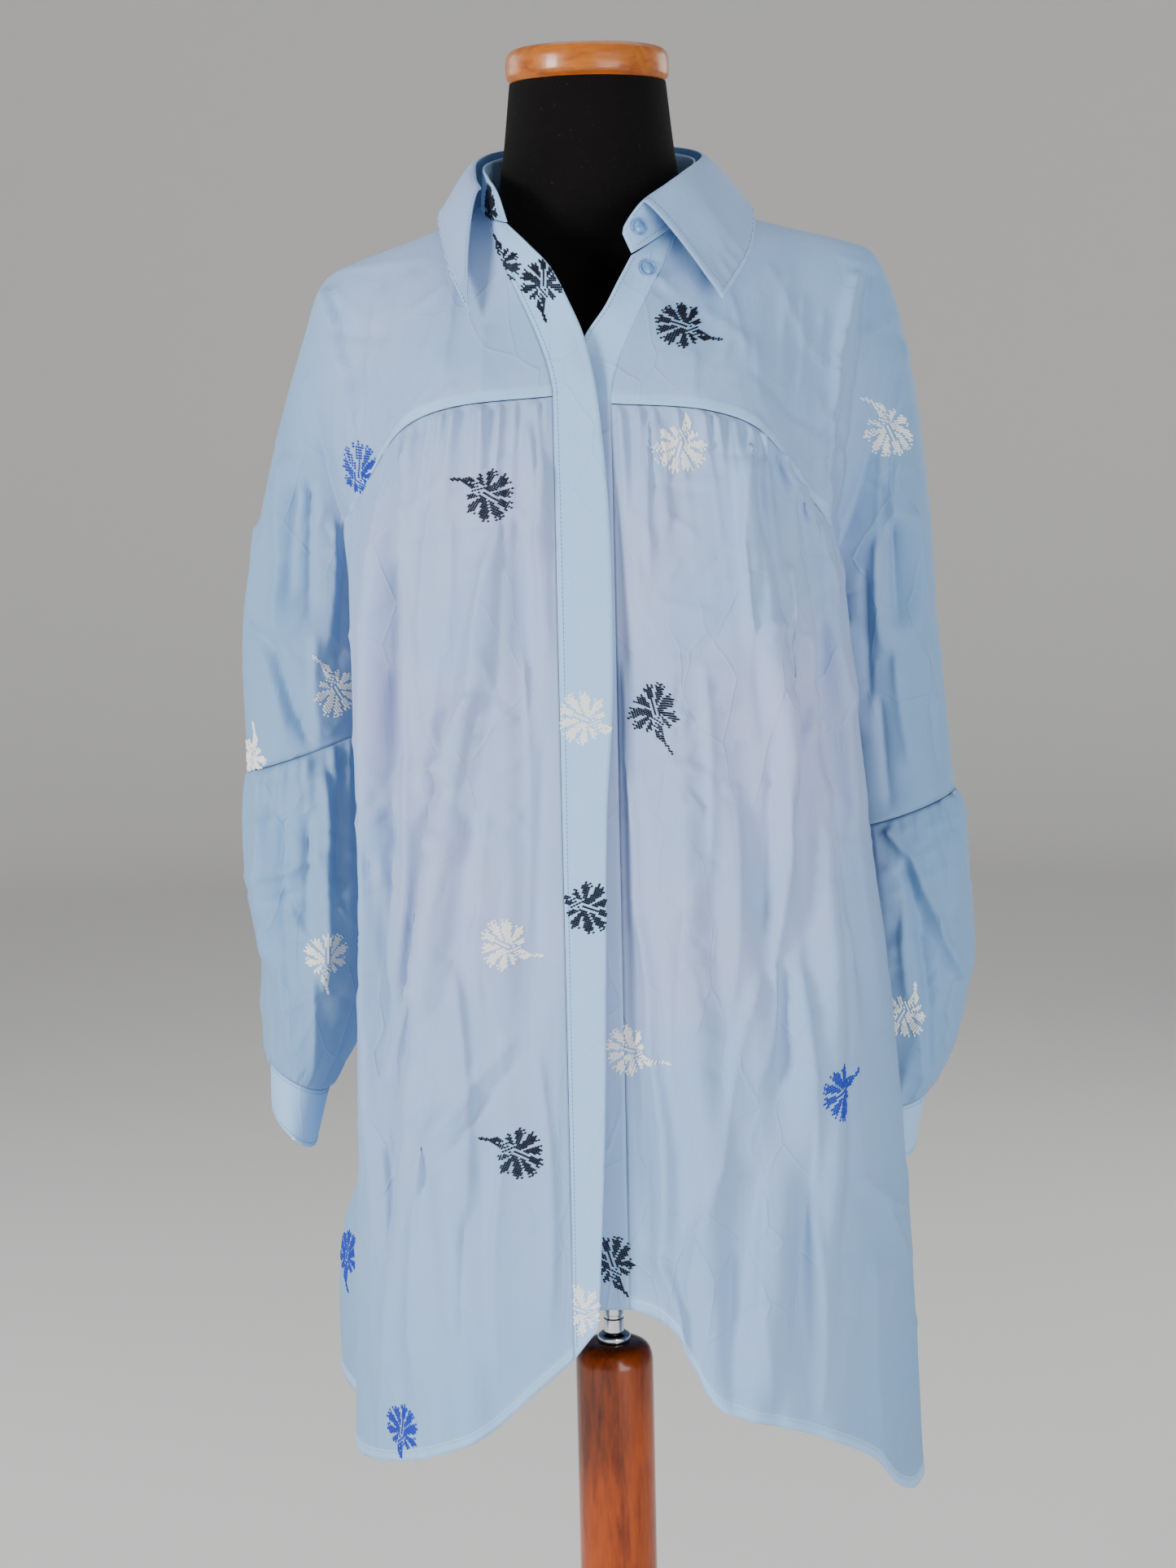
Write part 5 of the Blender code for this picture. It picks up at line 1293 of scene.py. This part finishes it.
def cuff(side, name):
    """A narrow doubled cuff."""
    us, vs = evenly(0.0, 1.0, 96), evenly(0.004, 1.0, 24)
    turn, q = np.meshgrid(us, vs, indexing="ij")
    points = loop(CUFF[side], q, turn)
    face = ring_face(points, side)
    lift = ripple(points, 0.0003, 1.2) * smooth(q / 0.1) * smooth((1 - q) / 0.1)
    lift[-1] = lift[0]
    points = points + face * lift[..., None]
    whole = np.ones_like(q)
    cloth(name, us, vs, points, -side, double=whole, thick=DOUBLE_CLOTH, ring=True)


def front_strip(side, name, rows, thick, crease_rows):
    """The placket, doubled all over, or the button band, doubled above the yoke seam only."""
    us = evenly(0.0, 1.0, 12)
    vs = np.concatenate((evenly(0.0025, 0.9975, 50), 1 + rows_down(190, 1.0)[1:]))
    across, way = np.meshgrid(us, vs, indexing="ij")
    points = strip(side, rows, across, way)
    face = normals(points, side)
    calm = smooth(across / 0.12) * smooth((2 - way) / 0.02)
    move = creases(points, crease_rows) + ripple(points, 0.00035, 5.0)
    points = points + face * (move * calm)[..., None]
    doubled = np.ones_like(way) if side == RIGHT else 0.1 + 0.9 * smooth((1.02 - way) / 0.04)
    cloth(name, us, vs, points, side, double=doubled, thick=thick)


def collar_stand(name):
    """The stand that the collar's leaf is sewn to."""
    us, vs = evenly(0.0, 1.0, 150), evenly(-0.05, 1.0, 14)
    u, v = np.meshgrid(us, vs, indexing="ij")
    points = stand_point(u, v)
    points = points + normals(points, -1) * (ripple(points, 0.0003, 0.3) * hump(2 * v - 1))[..., None]
    cloth(name, us, vs, points, -1, double=np.ones_like(u), thick=DOUBLE_CLOTH)


def collar(name):
    """The turned-down pointed leaf with its puckered edge and the groove of its stitches."""
    us, vs = evenly(0.0, 1.0, 190), evenly(0.0, 1.0, 44)
    u, v = np.meshgrid(us, vs, indexing="ij")
    points = leaf_point(u, v)
    face = normals(points, 1)
    puckers = np.zeros_like(u)
    for n in range(92):
        middle = (n + 0.5 + 0.4 * math.sin(3.1 * n)) / 92
        reach = 0.10 + 0.16 * abs(math.sin(1.9 * n))
        puckers += 0.0015 * np.exp(-(((u - middle) / 0.0032) ** 2)) * hump((v - 0.93) / reach) * (v < 0.99)
    groove = -0.0007 * (np.exp(-(((v - 0.945) / 0.012) ** 2)))
    points = points + face * (puckers + groove + ripple(points, 0.0003, 6.1) * hump(v * 2 - 1))[..., None]
    edge = smooth((v - 0.965) / 0.01)
    cloth(name, us, vs, points, 1, double=edge, thick=DOUBLE_CLOTH)


# One cross-stitched flower: a mark is one stitch, and its stem points down.
FLOWER = (
    "..............#..............",
    "............#.#.#..#.........",
    "............#####.#.##.......",
    "........#.#..###..###.#......",
    "......#.###..###..####.......",
    ".......#####.###.####........",
    "....#...####.###.####...#....",
    ".....#...###..#..###..##.....",
    "...#####..###.#.###.######...",
    "....#####..##.#.##.######....",
    "..#########.#.#.#.#######....",
    "....########..#..#######.....",
    "........#####.#.#####........",
    "....#.....###.#.###.....#....",
    "...#.########.#.########.....",
    "....#######.#...#.#######....",
    "...######..#.#.#.#..######...",
    ".....##...##..#..##...##.....",
    ".........###.#.#.###.........",
    "........###.#.#.#.###........",
    "........#.#..###...#.........",
    "............#.##.............",
    "............####.............",
    "............##.#.............",
    "............####.............",
    ".............###.............",
    "..............##.............",
    "...............#.............",
    "...............##............",
    "................#............",
    "................##...........",
    ".................#...........",
)
# Column and row of the flower's middle
FLOWER_MIDDLE = (14, 13)
# How far about its middle the cloth's own slope and facing are taken, as a share of the piece
FLOWER_SPAN = 0.02
# One cross stitch on the cloth, and its thread
STITCH = 0.00158
STITCH_THICK, STITCH_HIGH = 0.00096, 0.00046
# How far the ends of a thread dip into the cloth, and how far one thread lies above another
SUNK, CROSSED = 0.0002, 0.00012
# How far above its edge a hem is sewn
HEM_WIDE = 0.0086
# One machine stitch, and how far apart they start
SEWN_LONG, SEWN_APART, SEWN_THICK, SEWN_HIGH = 0.0024, 0.0031, 0.00056, 0.00024
# How much shorter and narrower a run of thread is at its top
TOP_LONG, TOP_THICK = 0.72, 0.62


def bar(long, thick, high, low=0.0):
    """One short run of thread along X, rounded at its top and dipping into the cloth at its ends."""
    bm = bmesh.new()
    bmesh.ops.create_cube(bm, size=1.0)
    for vert in bm.verts:
        x, y, z = vert.co
        if z > 0:
            vert.co = (x * long * TOP_LONG, y * thick * TOP_THICK, low + high)
        else:
            vert.co = (x * long, y * thick, low - SUNK)
    hidden = [surface for surface in bm.faces if surface.calc_center_median().z < low]
    bmesh.ops.delete(bm, geom=hidden, context="FACES_ONLY")
    bm.verts.index_update()
    corners = np.array([vert.co[:] for vert in bm.verts])
    faces = np.array([[vert.index for vert in surface.verts] for surface in bm.faces])
    bm.free()
    return corners, faces


def ridge(long, thick, high):
    """A run of thread that others lie over, as a plain ridge."""
    corners = np.array([(end * long / 2 * TOP_LONG, y, z) for end in (-1, 1)
                        for y, z in ((-thick / 2, -SUNK), (0.0, high), (thick / 2, -SUNK))])
    faces = np.array([(0, 3, 4, 1), (1, 4, 5, 2)])
    return corners, faces


def turned(shape, angle):
    """A small shape turned about its own upright axis."""
    corners, faces = shape
    c, s = math.cos(angle), math.sin(angle)
    x, y, z = corners.T
    return np.stack((x * c - y * s, x * s + y * c, z), -1), faces


def joined(name, shape, places, material):
    """Copies of one small shape joined in one mesh.

    places holds each copy's middle and its three directions.
    """
    corners, faces = shape
    middle, ex, ey, ez = places
    points = middle[:, None] + corners[None, :, :1] * ex[:, None] + corners[None, :, 1:2] * ey[:, None]
    points = points + corners[None, :, 2:] * ez[:, None]
    order = faces[None] + (np.arange(len(middle)) * len(corners))[:, None, None]
    mesh = bpy.data.meshes.new(name)
    mesh.from_pydata(points.reshape(-1, 3).tolist(), [], order.reshape(-1, 4).tolist())
    mesh.shade_smooth()
    mesh.materials.append(material)
    piece = bpy.data.objects.new(name, mesh)
    bpy.context.scene.collection.objects.link(piece)
    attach(piece, "root")


def on_piece(name, u, v):
    """Points of a finished piece's outer face and the directions that it faces."""
    us, vs, points, face = PIECES[name]
    i, j = np.interp(u, us, np.arange(len(us))), np.interp(v, vs, np.arange(len(vs)))
    a, b = np.minimum(i.astype(int), len(us) - 2), np.minimum(j.astype(int), len(vs) - 2)
    s, t = (i - a)[..., None], (j - b)[..., None]
    out = []
    for grid in (points, face):
        row = grid[a, b] * (1 - s) + grid[a + 1, b] * s
        out.append(row * (1 - t) + (grid[a, b + 1] * (1 - s) + grid[a + 1, b + 1] * s) * t)
    return out[0], unit(out[1])


def flower(piece, u0, v0, angle, size=1.0):
    """The middles and directions of one flower's stitches, kept to the piece that it is sewn on."""
    us, vs = PIECES[piece][:2]
    marks = [(c, r) for r, row in enumerate(FLOWER) for c, mark in enumerate(row) if mark == "#"]
    cells = np.array(marks, float)
    across = (cells[:, 0] - FLOWER_MIDDLE[0]) * STITCH * size
    up = (FLOWER_MIDDLE[1] - cells[:, 1]) * STITCH * size
    e = FLOWER_SPAN
    near_u, near_v = np.clip(u0, us[0] + e, us[-1] - e), np.clip(v0, vs[0] + e, vs[-1] - e)
    here = near_u + np.array([0, e, -e, 0, 0]), near_v + np.array([0, 0, 0, e, -e])
    points, face = on_piece(piece, *here)
    pu, pv = (points[1] - points[2]) / (2 * e), (points[3] - points[4]) / (2 * e)
    facing = unit(np.cross(pu, pv))
    facing = facing * np.sign(facing @ face[0])
    x = unit(np.cross((0.0, 0.0, 1.0), facing))
    y = np.cross(facing, x)
    turn = math.radians(angle)
    ex, ey = x * math.cos(turn) + y * math.sin(turn), y * math.cos(turn) - x * math.sin(turn)
    off = across[:, None] * ex + up[:, None] * ey
    metric = np.array([[pu @ pu, pu @ pv], [pu @ pv, pv @ pv]])
    moved = np.linalg.solve(metric, np.stack((off @ pu, off @ pv)))
    u, v = u0 + moved[0], v0 + moved[1]
    if piece.startswith(("sleeve", "cuff")):
        u = u % 1.0
    inside = (u > us[0]) & (u < us[-1]) & (v > vs[0] + 0.004) & (v < vs[-1] - 0.004)
    middle, out = on_piece(piece, u[inside], v[inside])
    along = unit(ex - out * (out @ ex)[:, None])
    return middle, along, np.cross(out, along), out


def embroider(colour, motifs):
    """All flowers of one colour: one piece for the lower threads of the crosses and one for the upper."""
    found = [flower(*row) for row in motifs]
    places = [np.concatenate([part[k] for part in found]) for k in range(4)]
    long = STITCH * 1.30
    under = turned(ridge(long, STITCH_THICK, STITCH_HIGH), math.pi / 4)
    over = turned(bar(long, STITCH_THICK, STITCH_HIGH * 1.35, CROSSED), -math.pi / 4)
    for name, shape in (("under", under), ("over", over)):
        joined(f"flowers_{colour}_{name}_stitches", shape, places, THREADS[colour])


def hem_path(side, back):
    """Where the hem's stitches run on a body panel, one hem's width above its edge."""
    share = evenly(0.01, 0.99, 24)
    seam, hem = (BACK_SEAM, BACK_HEM[side]) if back else (FRONT_SEAM[side], FRONT_HEM[side])
    top, low = at(seam, share)[0], at(hem, share)[0]
    return np.stack((share * side if back else share, 1 - HEM_WIDE / (top - low)), -1)


def sewn_line(name, runs, colour="pale"):
    """Lines of machine stitches. A run is a piece and the places on it that the line passes through."""
    middles, alongs, outs = [], [], []
    for piece, path in runs:
        path = np.array(path, float)
        steps = np.concatenate([np.linspace(a, b, 90)[:-1] for a, b in zip(path, path[1:])] + [path[-1:]])
        points, face = on_piece(piece, steps[:, 0], steps[:, 1])
        gone = np.concatenate(([0], np.cumsum(np.linalg.norm(np.diff(points, axis=0), axis=1))))
        stops = np.arange(SEWN_APART / 2, gone[-1], SEWN_APART)
        at_stop = [np.interp(stops, gone, steps[:, k]) for k in (0, 1)]
        ahead = [np.interp(stops + 0.001, gone, steps[:, k]) for k in (0, 1)]
        here, out = on_piece(piece, *at_stop)
        there, _ = on_piece(piece, *ahead)
        middles.append(here)
        alongs.append(unit(there - here))
        outs.append(out)
    middle, along, out = (np.concatenate(part) for part in (middles, alongs, outs))
    side = unit(np.cross(out, along))
    shape = bar(SEWN_LONG, SEWN_THICK, SEWN_HIGH)
    joined(name, shape, (middle, along, side, np.cross(along, side)), THREADS[colour])


def link(name, bm, material, stands_for, smooth_angle=0.7):
    """One finished piece of a hard part from its bmesh."""
    bmesh.ops.remove_doubles(bm, verts=bm.verts, dist=1e-6)
    bmesh.ops.recalc_face_normals(bm, faces=bm.faces)
    mesh = bpy.data.meshes.new(name)
    bm.to_mesh(mesh)
    bm.free()
    mesh.shade_smooth()
    mesh.set_sharp_from_angle(angle=smooth_angle)
    mesh.materials.append(material)
    piece = bpy.data.objects.new(name, mesh)
    bpy.context.scene.collection.objects.link(piece)
    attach(piece, "root")
    if stands_for:
        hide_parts(stands_for)
    return piece


def spun(profile, steps):
    """A turned shape from its profile of radius and height."""
    bm = bmesh.new()
    verts = [bm.verts.new((radius, 0, height)) for radius, height in profile]
    for a, b in zip(verts, verts[1:]):
        bm.edges.new((a, b))
    bmesh.ops.spin(bm, geom=bm.verts[:] + bm.edges[:], cent=(0, 0, 0), axis=(0, 0, 1), angle=math.tau,
                   steps=steps, use_merge=True)
    return bm


def rounded(corners, steps=6):
    """A profile with each corner rounded. Columns: radius, height, rounding."""
    out = []
    for k, (x, y, r) in enumerate(corners):
        here = Vector((x, y))
        if r == 0 or k in (0, len(corners) - 1):
            out.append(here)
            continue
        before = (Vector(corners[k - 1][:2]) - here).normalized() * r
        after = (Vector(corners[k + 1][:2]) - here).normalized() * r
        for n in range(steps + 1):
            t = n / steps
            out.append((here + before) * (1 - t) ** 2 + here * (2 * t * (1 - t)) + (here + after) * t**2)
    return [(max(p.x, 0.0), p.y) for p in out]


def form_cover():
    """The covered torso and neck as one smooth closed shape with its two side seams."""
    around = 120
    heights = np.concatenate((evenly(FORM[0][0], 1.43, 70)[:-1], evenly(1.43, FORM[-1][0], 30)))
    bm = bmesh.new()
    bmesh.ops.create_grid(bm, x_segments=around, y_segments=len(heights) - 1, size=0.5)
    wide, deep, middle = at(FORM, heights)
    slack = 0.0016 * hump((heights - 1.33) / 0.16)
    for vert in bm.verts:
        i = round((vert.co.x + 0.5) * around) % around
        j = round((vert.co.y + 0.5) * (len(heights) - 1))
        angle = math.tau * i / around
        seam = 0.0007 * math.exp(-(((abs(math.cos(angle))) / 0.03) ** 2))
        w, d = wide[j] - slack[j] - seam, deep[j] - slack[j] - seam
        vert.co = (w * math.sin(angle), middle[j] - d * math.cos(angle), heights[j])
    bmesh.ops.remove_doubles(bm, verts=bm.verts, dist=1e-6)
    bmesh.ops.holes_fill(bm, edges=bm.edges, sides=around)
    link("form_cover", bm, form_jersey(), "form_torso")


def neck_cap():
    """The turned cap of the neck: a shallow block with a rim round its dished top."""
    low, high = (c.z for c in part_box("neck_cap"))
    wide = CAP_RADIUS
    profile = rounded((
        (0.0, low, 0), (wide - 0.004, low, 0), (wide - 0.0004, low + 0.0035, 0.002),
        (wide, low + 0.008, 0.002), (wide - 0.0002, high - 0.006, 0.003), (wide - 0.0035, high, 0.0035),
        (wide - 0.009, high + 0.0002, 0.003), (wide - 0.012, high - 0.0006, 0.002), (0.0, high - 0.0006, 0),
    ))
    wood = turned_wood("honey_wood", rgb(182, 104, 28), rgb(134, 62, 8), (9.0, 34.0, 40.0), 0.36, 0.22)
    link("neck_cap_turned", spun(profile, 128), wood, "neck_cap")


def pole():
    """The thick turned pole with its shouldered top."""
    foot, top = (c.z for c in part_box("pole"))
    wide, hole = POLE_RADIUS, STEM_RADIUS
    profile = rounded((
        (0.0, foot, 0), (wide, foot, 0.001), (wide, top - 0.011, 0.006), (wide - 0.004, top - 0.003, 0.004),
        (wide - 0.011, top, 0.004), (hole + 0.004, top, 0.001), (hole + 0.003, top - 0.001, 0),
        (0.0, top - 0.001, 0),
    ))
    light, dark = rgb(168, 70, 0), rgb(84, 26, 0)
    wood = turned_wood("polished_pole_wood", light, dark, (34.0, 34.0, 5.0), 0.26, 0.22)
    link("pole_turned", spun(profile, 96), wood, "pole")


def base():
    """The turned disc that the pole stands on, with a step near its edge."""
    low, high = (c.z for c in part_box("base"))
    wide = BASE_RADIUS
    profile = rounded((
        (0.0, low, 0), (wide - 0.002, low, 0.001), (wide, low + 0.004, 0.002), (wide, high - 0.012, 0.005),
        (wide - 0.006, high - 0.005, 0.003), (wide - 0.010, high - 0.005, 0.002),
        (wide - 0.013, high, 0.003), (POLE_RADIUS + 0.010, high, 0.002), (0.0, high, 0),
    ))
    light, dark = rgb(180, 80, 10), rgb(80, 26, 1)
    wood = turned_wood("polished_base_wood", light, dark, (6.0, 46.0, 46.0), 0.25, 0.55)
    link("base_turned", spun(profile, 160), wood, "base")


def stem():
    """The steel stem with a groove near its foot, and the ferrule that it stands in."""
    low, high = (c.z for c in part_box("stem"))
    wide, steel = STEM_RADIUS, polished_steel()
    profile = rounded((
        (0.0, low, 0), (wide, low, 0.0005), (wide, low + 0.018, 0), (wide - 0.0009, low + 0.019, 0),
        (wide - 0.0009, low + 0.021, 0), (wide, low + 0.022, 0), (wide, high, 0.0005), (0.0, high, 0),
    ))
    link("stem_tube", spun(profile, 48), steel, "stem")
    inner = wide + 0.0002
    profile = rounded((
        (inner, low, 0), (wide + 0.0050, low, 0.0008), (wide + 0.0050, low + 0.005, 0.0015),
        (wide + 0.0012, low + 0.0075, 0.001), (inner, low + 0.0078, 0), (inner, low, 0),
    ))
    link("stem_ferrule", spun(profile, 48), steel, None)


def resin_button(node, resin):
    """A domed button with a rim round it, where its solid is."""
    corners = np.array([vert.co[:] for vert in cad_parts[node].data.vertices])
    middle = (corners.max(0) + corners.min(0)) / 2
    _, _, axes = np.linalg.svd(corners - corners.mean(0), full_matrices=False)
    out = axes[2] * (-1 if axes[2][1] > 0 else 1)
    reach = (corners - middle) @ out
    low, high = reach.min(), reach.max()
    radius = np.linalg.norm((corners - middle) - reach[:, None] * out, axis=1).max()
    tall = high - low
    profile = rounded((
        (0.0, 0.0, 0), (radius * 0.80, 0.0, 0.001), (radius, tall * 0.35, 0.0006),
        (radius * 0.97, tall * 0.78, 0.0006), (radius * 0.84, tall * 0.78, 0.0005),
        (radius * 0.76, tall * 0.45, 0.0004), (radius * 0.42, tall * 0.98, 0.0022), (0.0, tall, 0),
    ), 5)
    bm = spun(profile, 64)
    way = Vector(out).to_track_quat("Z", "Y").to_matrix()
    place = Matrix.Translation(Vector(middle + out * low)) @ way.to_4x4()
    bmesh.ops.transform(bm, matrix=place, verts=bm.verts)
    link(node + "_resin", bm, resin, node, 1.2)


# Columns: name, place, size, power, colour
LAMPS = (
    ("key", (-2.7, -2.2, 1.7), 0.9, 140, (1.0, 0.98, 0.95)),
    ("fill", (1.7, -3.0, 0.9), 2.0, 92, (0.97, 0.98, 1.0)),
    ("top", (0.3, 0.6, 3.3), 2.0, 16, (1.0, 1.0, 1.0)),
    ("rim_left", (-2.3, 1.6, 1.9), 1.4, 18, (0.95, 0.98, 1.0)),
    ("rim_right", (2.2, 2.0, 1.7), 1.4, 20, (1.0, 0.98, 0.95)),
)


def studio():
    """A pale floor that bends up into a wall all round, a dim sky and the lamps."""
    floor = bpy.data.materials.new("pale_floor")
    floor.use_nodes = True
    paint = floor.node_tree.nodes["Principled BSDF"].inputs
    paint["Base Color"].default_value = (0.74, 0.73, 0.72, 1)
    paint["Roughness"].default_value = 0.9
    turns = [k * math.pi / 24 for k in range(13)]
    bend = [(5.2 + 1.3 * math.sin(turn), 1.3 - 1.3 * math.cos(turn)) for turn in turns]
    profile = [(0.0, 0.0), (1.0, 0.0), (3.0, 0.0)] + bend + [(6.5, 5.5)]
    bm = spun(profile, 96)
    bmesh.ops.remove_doubles(bm, verts=bm.verts, dist=1e-6)
    bmesh.ops.recalc_face_normals(bm, faces=bm.faces)
    bmesh.ops.reverse_faces(bm, faces=bm.faces)
    mesh = bpy.data.meshes.new("studio_floor")
    bm.to_mesh(mesh)
    bm.free()
    mesh.shade_smooth()
    mesh.materials.append(floor)
    stage = bpy.data.objects.new("studio_floor", mesh)
    bpy.context.scene.collection.objects.link(stage)
    world = bpy.data.worlds.new("studio")
    bpy.context.scene.world = world
    world.use_nodes = True
    sky = world.node_tree.nodes["Background"].inputs
    sky["Color"].default_value = (0.95, 0.97, 1.0, 1)
    sky["Strength"].default_value = 0.38
    aim = Vector((0.0, 0.0, 1.0))
    for name, spot, size, power, colour in LAMPS:
        lamp = bpy.data.lights.new(name, "AREA")
        lamp.size = size
        lamp.energy = power
        lamp.color = colour
        holder = bpy.data.objects.new(name, lamp)
        holder.location = spot
        holder.rotation_euler = (aim - Vector(spot)).to_track_quat("-Z", "Y").to_euler()
        bpy.context.scene.collection.objects.link(holder)


def camera():
    """The photo's view."""
    view = bpy.data.cameras.new("view")
    view.sensor_fit = "VERTICAL"
    view.sensor_height = 36.0
    view.lens = 36.0 * CAMERA_FOCUS / PHOTO_TALL
    holder = bpy.data.objects.new("view", view)
    tilt = Matrix.Rotation(math.pi / 2 - math.radians(CAMERA_DOWN), 3, "X")
    holder.rotation_euler = (tilt @ Matrix.Rotation(-math.radians(CAMERA_ROLL), 3, "Z")).to_euler()
    holder.location = CAMERA_SPOT
    bpy.context.scene.collection.objects.link(holder)
    bpy.context.scene.camera = holder


camera()
studio()
front_yoke(RIGHT, "front_yoke_right")
front_yoke(LEFT, "front_yoke_left")
back_yoke("back_yoke")
front_panel(RIGHT, "front_panel_right")
front_panel(LEFT, "front_panel_left")
back_panel("back_panel")
lower_sleeve(RIGHT, "sleeve_lower_right")
lower_sleeve(LEFT, "sleeve_lower_left")
cuff(RIGHT, "cuff_right")
cuff(LEFT, "cuff_left")
front_strip(RIGHT, "placket_right", PLACKET_EDGE, DOUBLE_CLOTH, PLACKET_CREASES)
front_strip(LEFT, "button_band_left", BAND_EDGE, CLOTH, BAND_CREASES)
collar_stand("collar_stand")
collar("collar")
form_cover()
neck_cap()
pole()
base()
stem()
resin = button_resin()
resin_button("button_top", resin)
resin_button("button_second", resin)
for colour, motifs in FLOWERS.items():
    embroider(colour, motifs)
for name, runs in SEWN.items():
    sewn_line(name, runs)
for name, panels, back in (
    ("front_hem_stitches", (("front_panel_right", RIGHT), ("front_panel_left", LEFT)), False),
    ("back_hem_stitches", (("back_panel", RIGHT), ("back_panel", LEFT)), True),
):
    sewn_line(name, [(piece, hem_path(side, back)) for piece, side in panels], "hem")
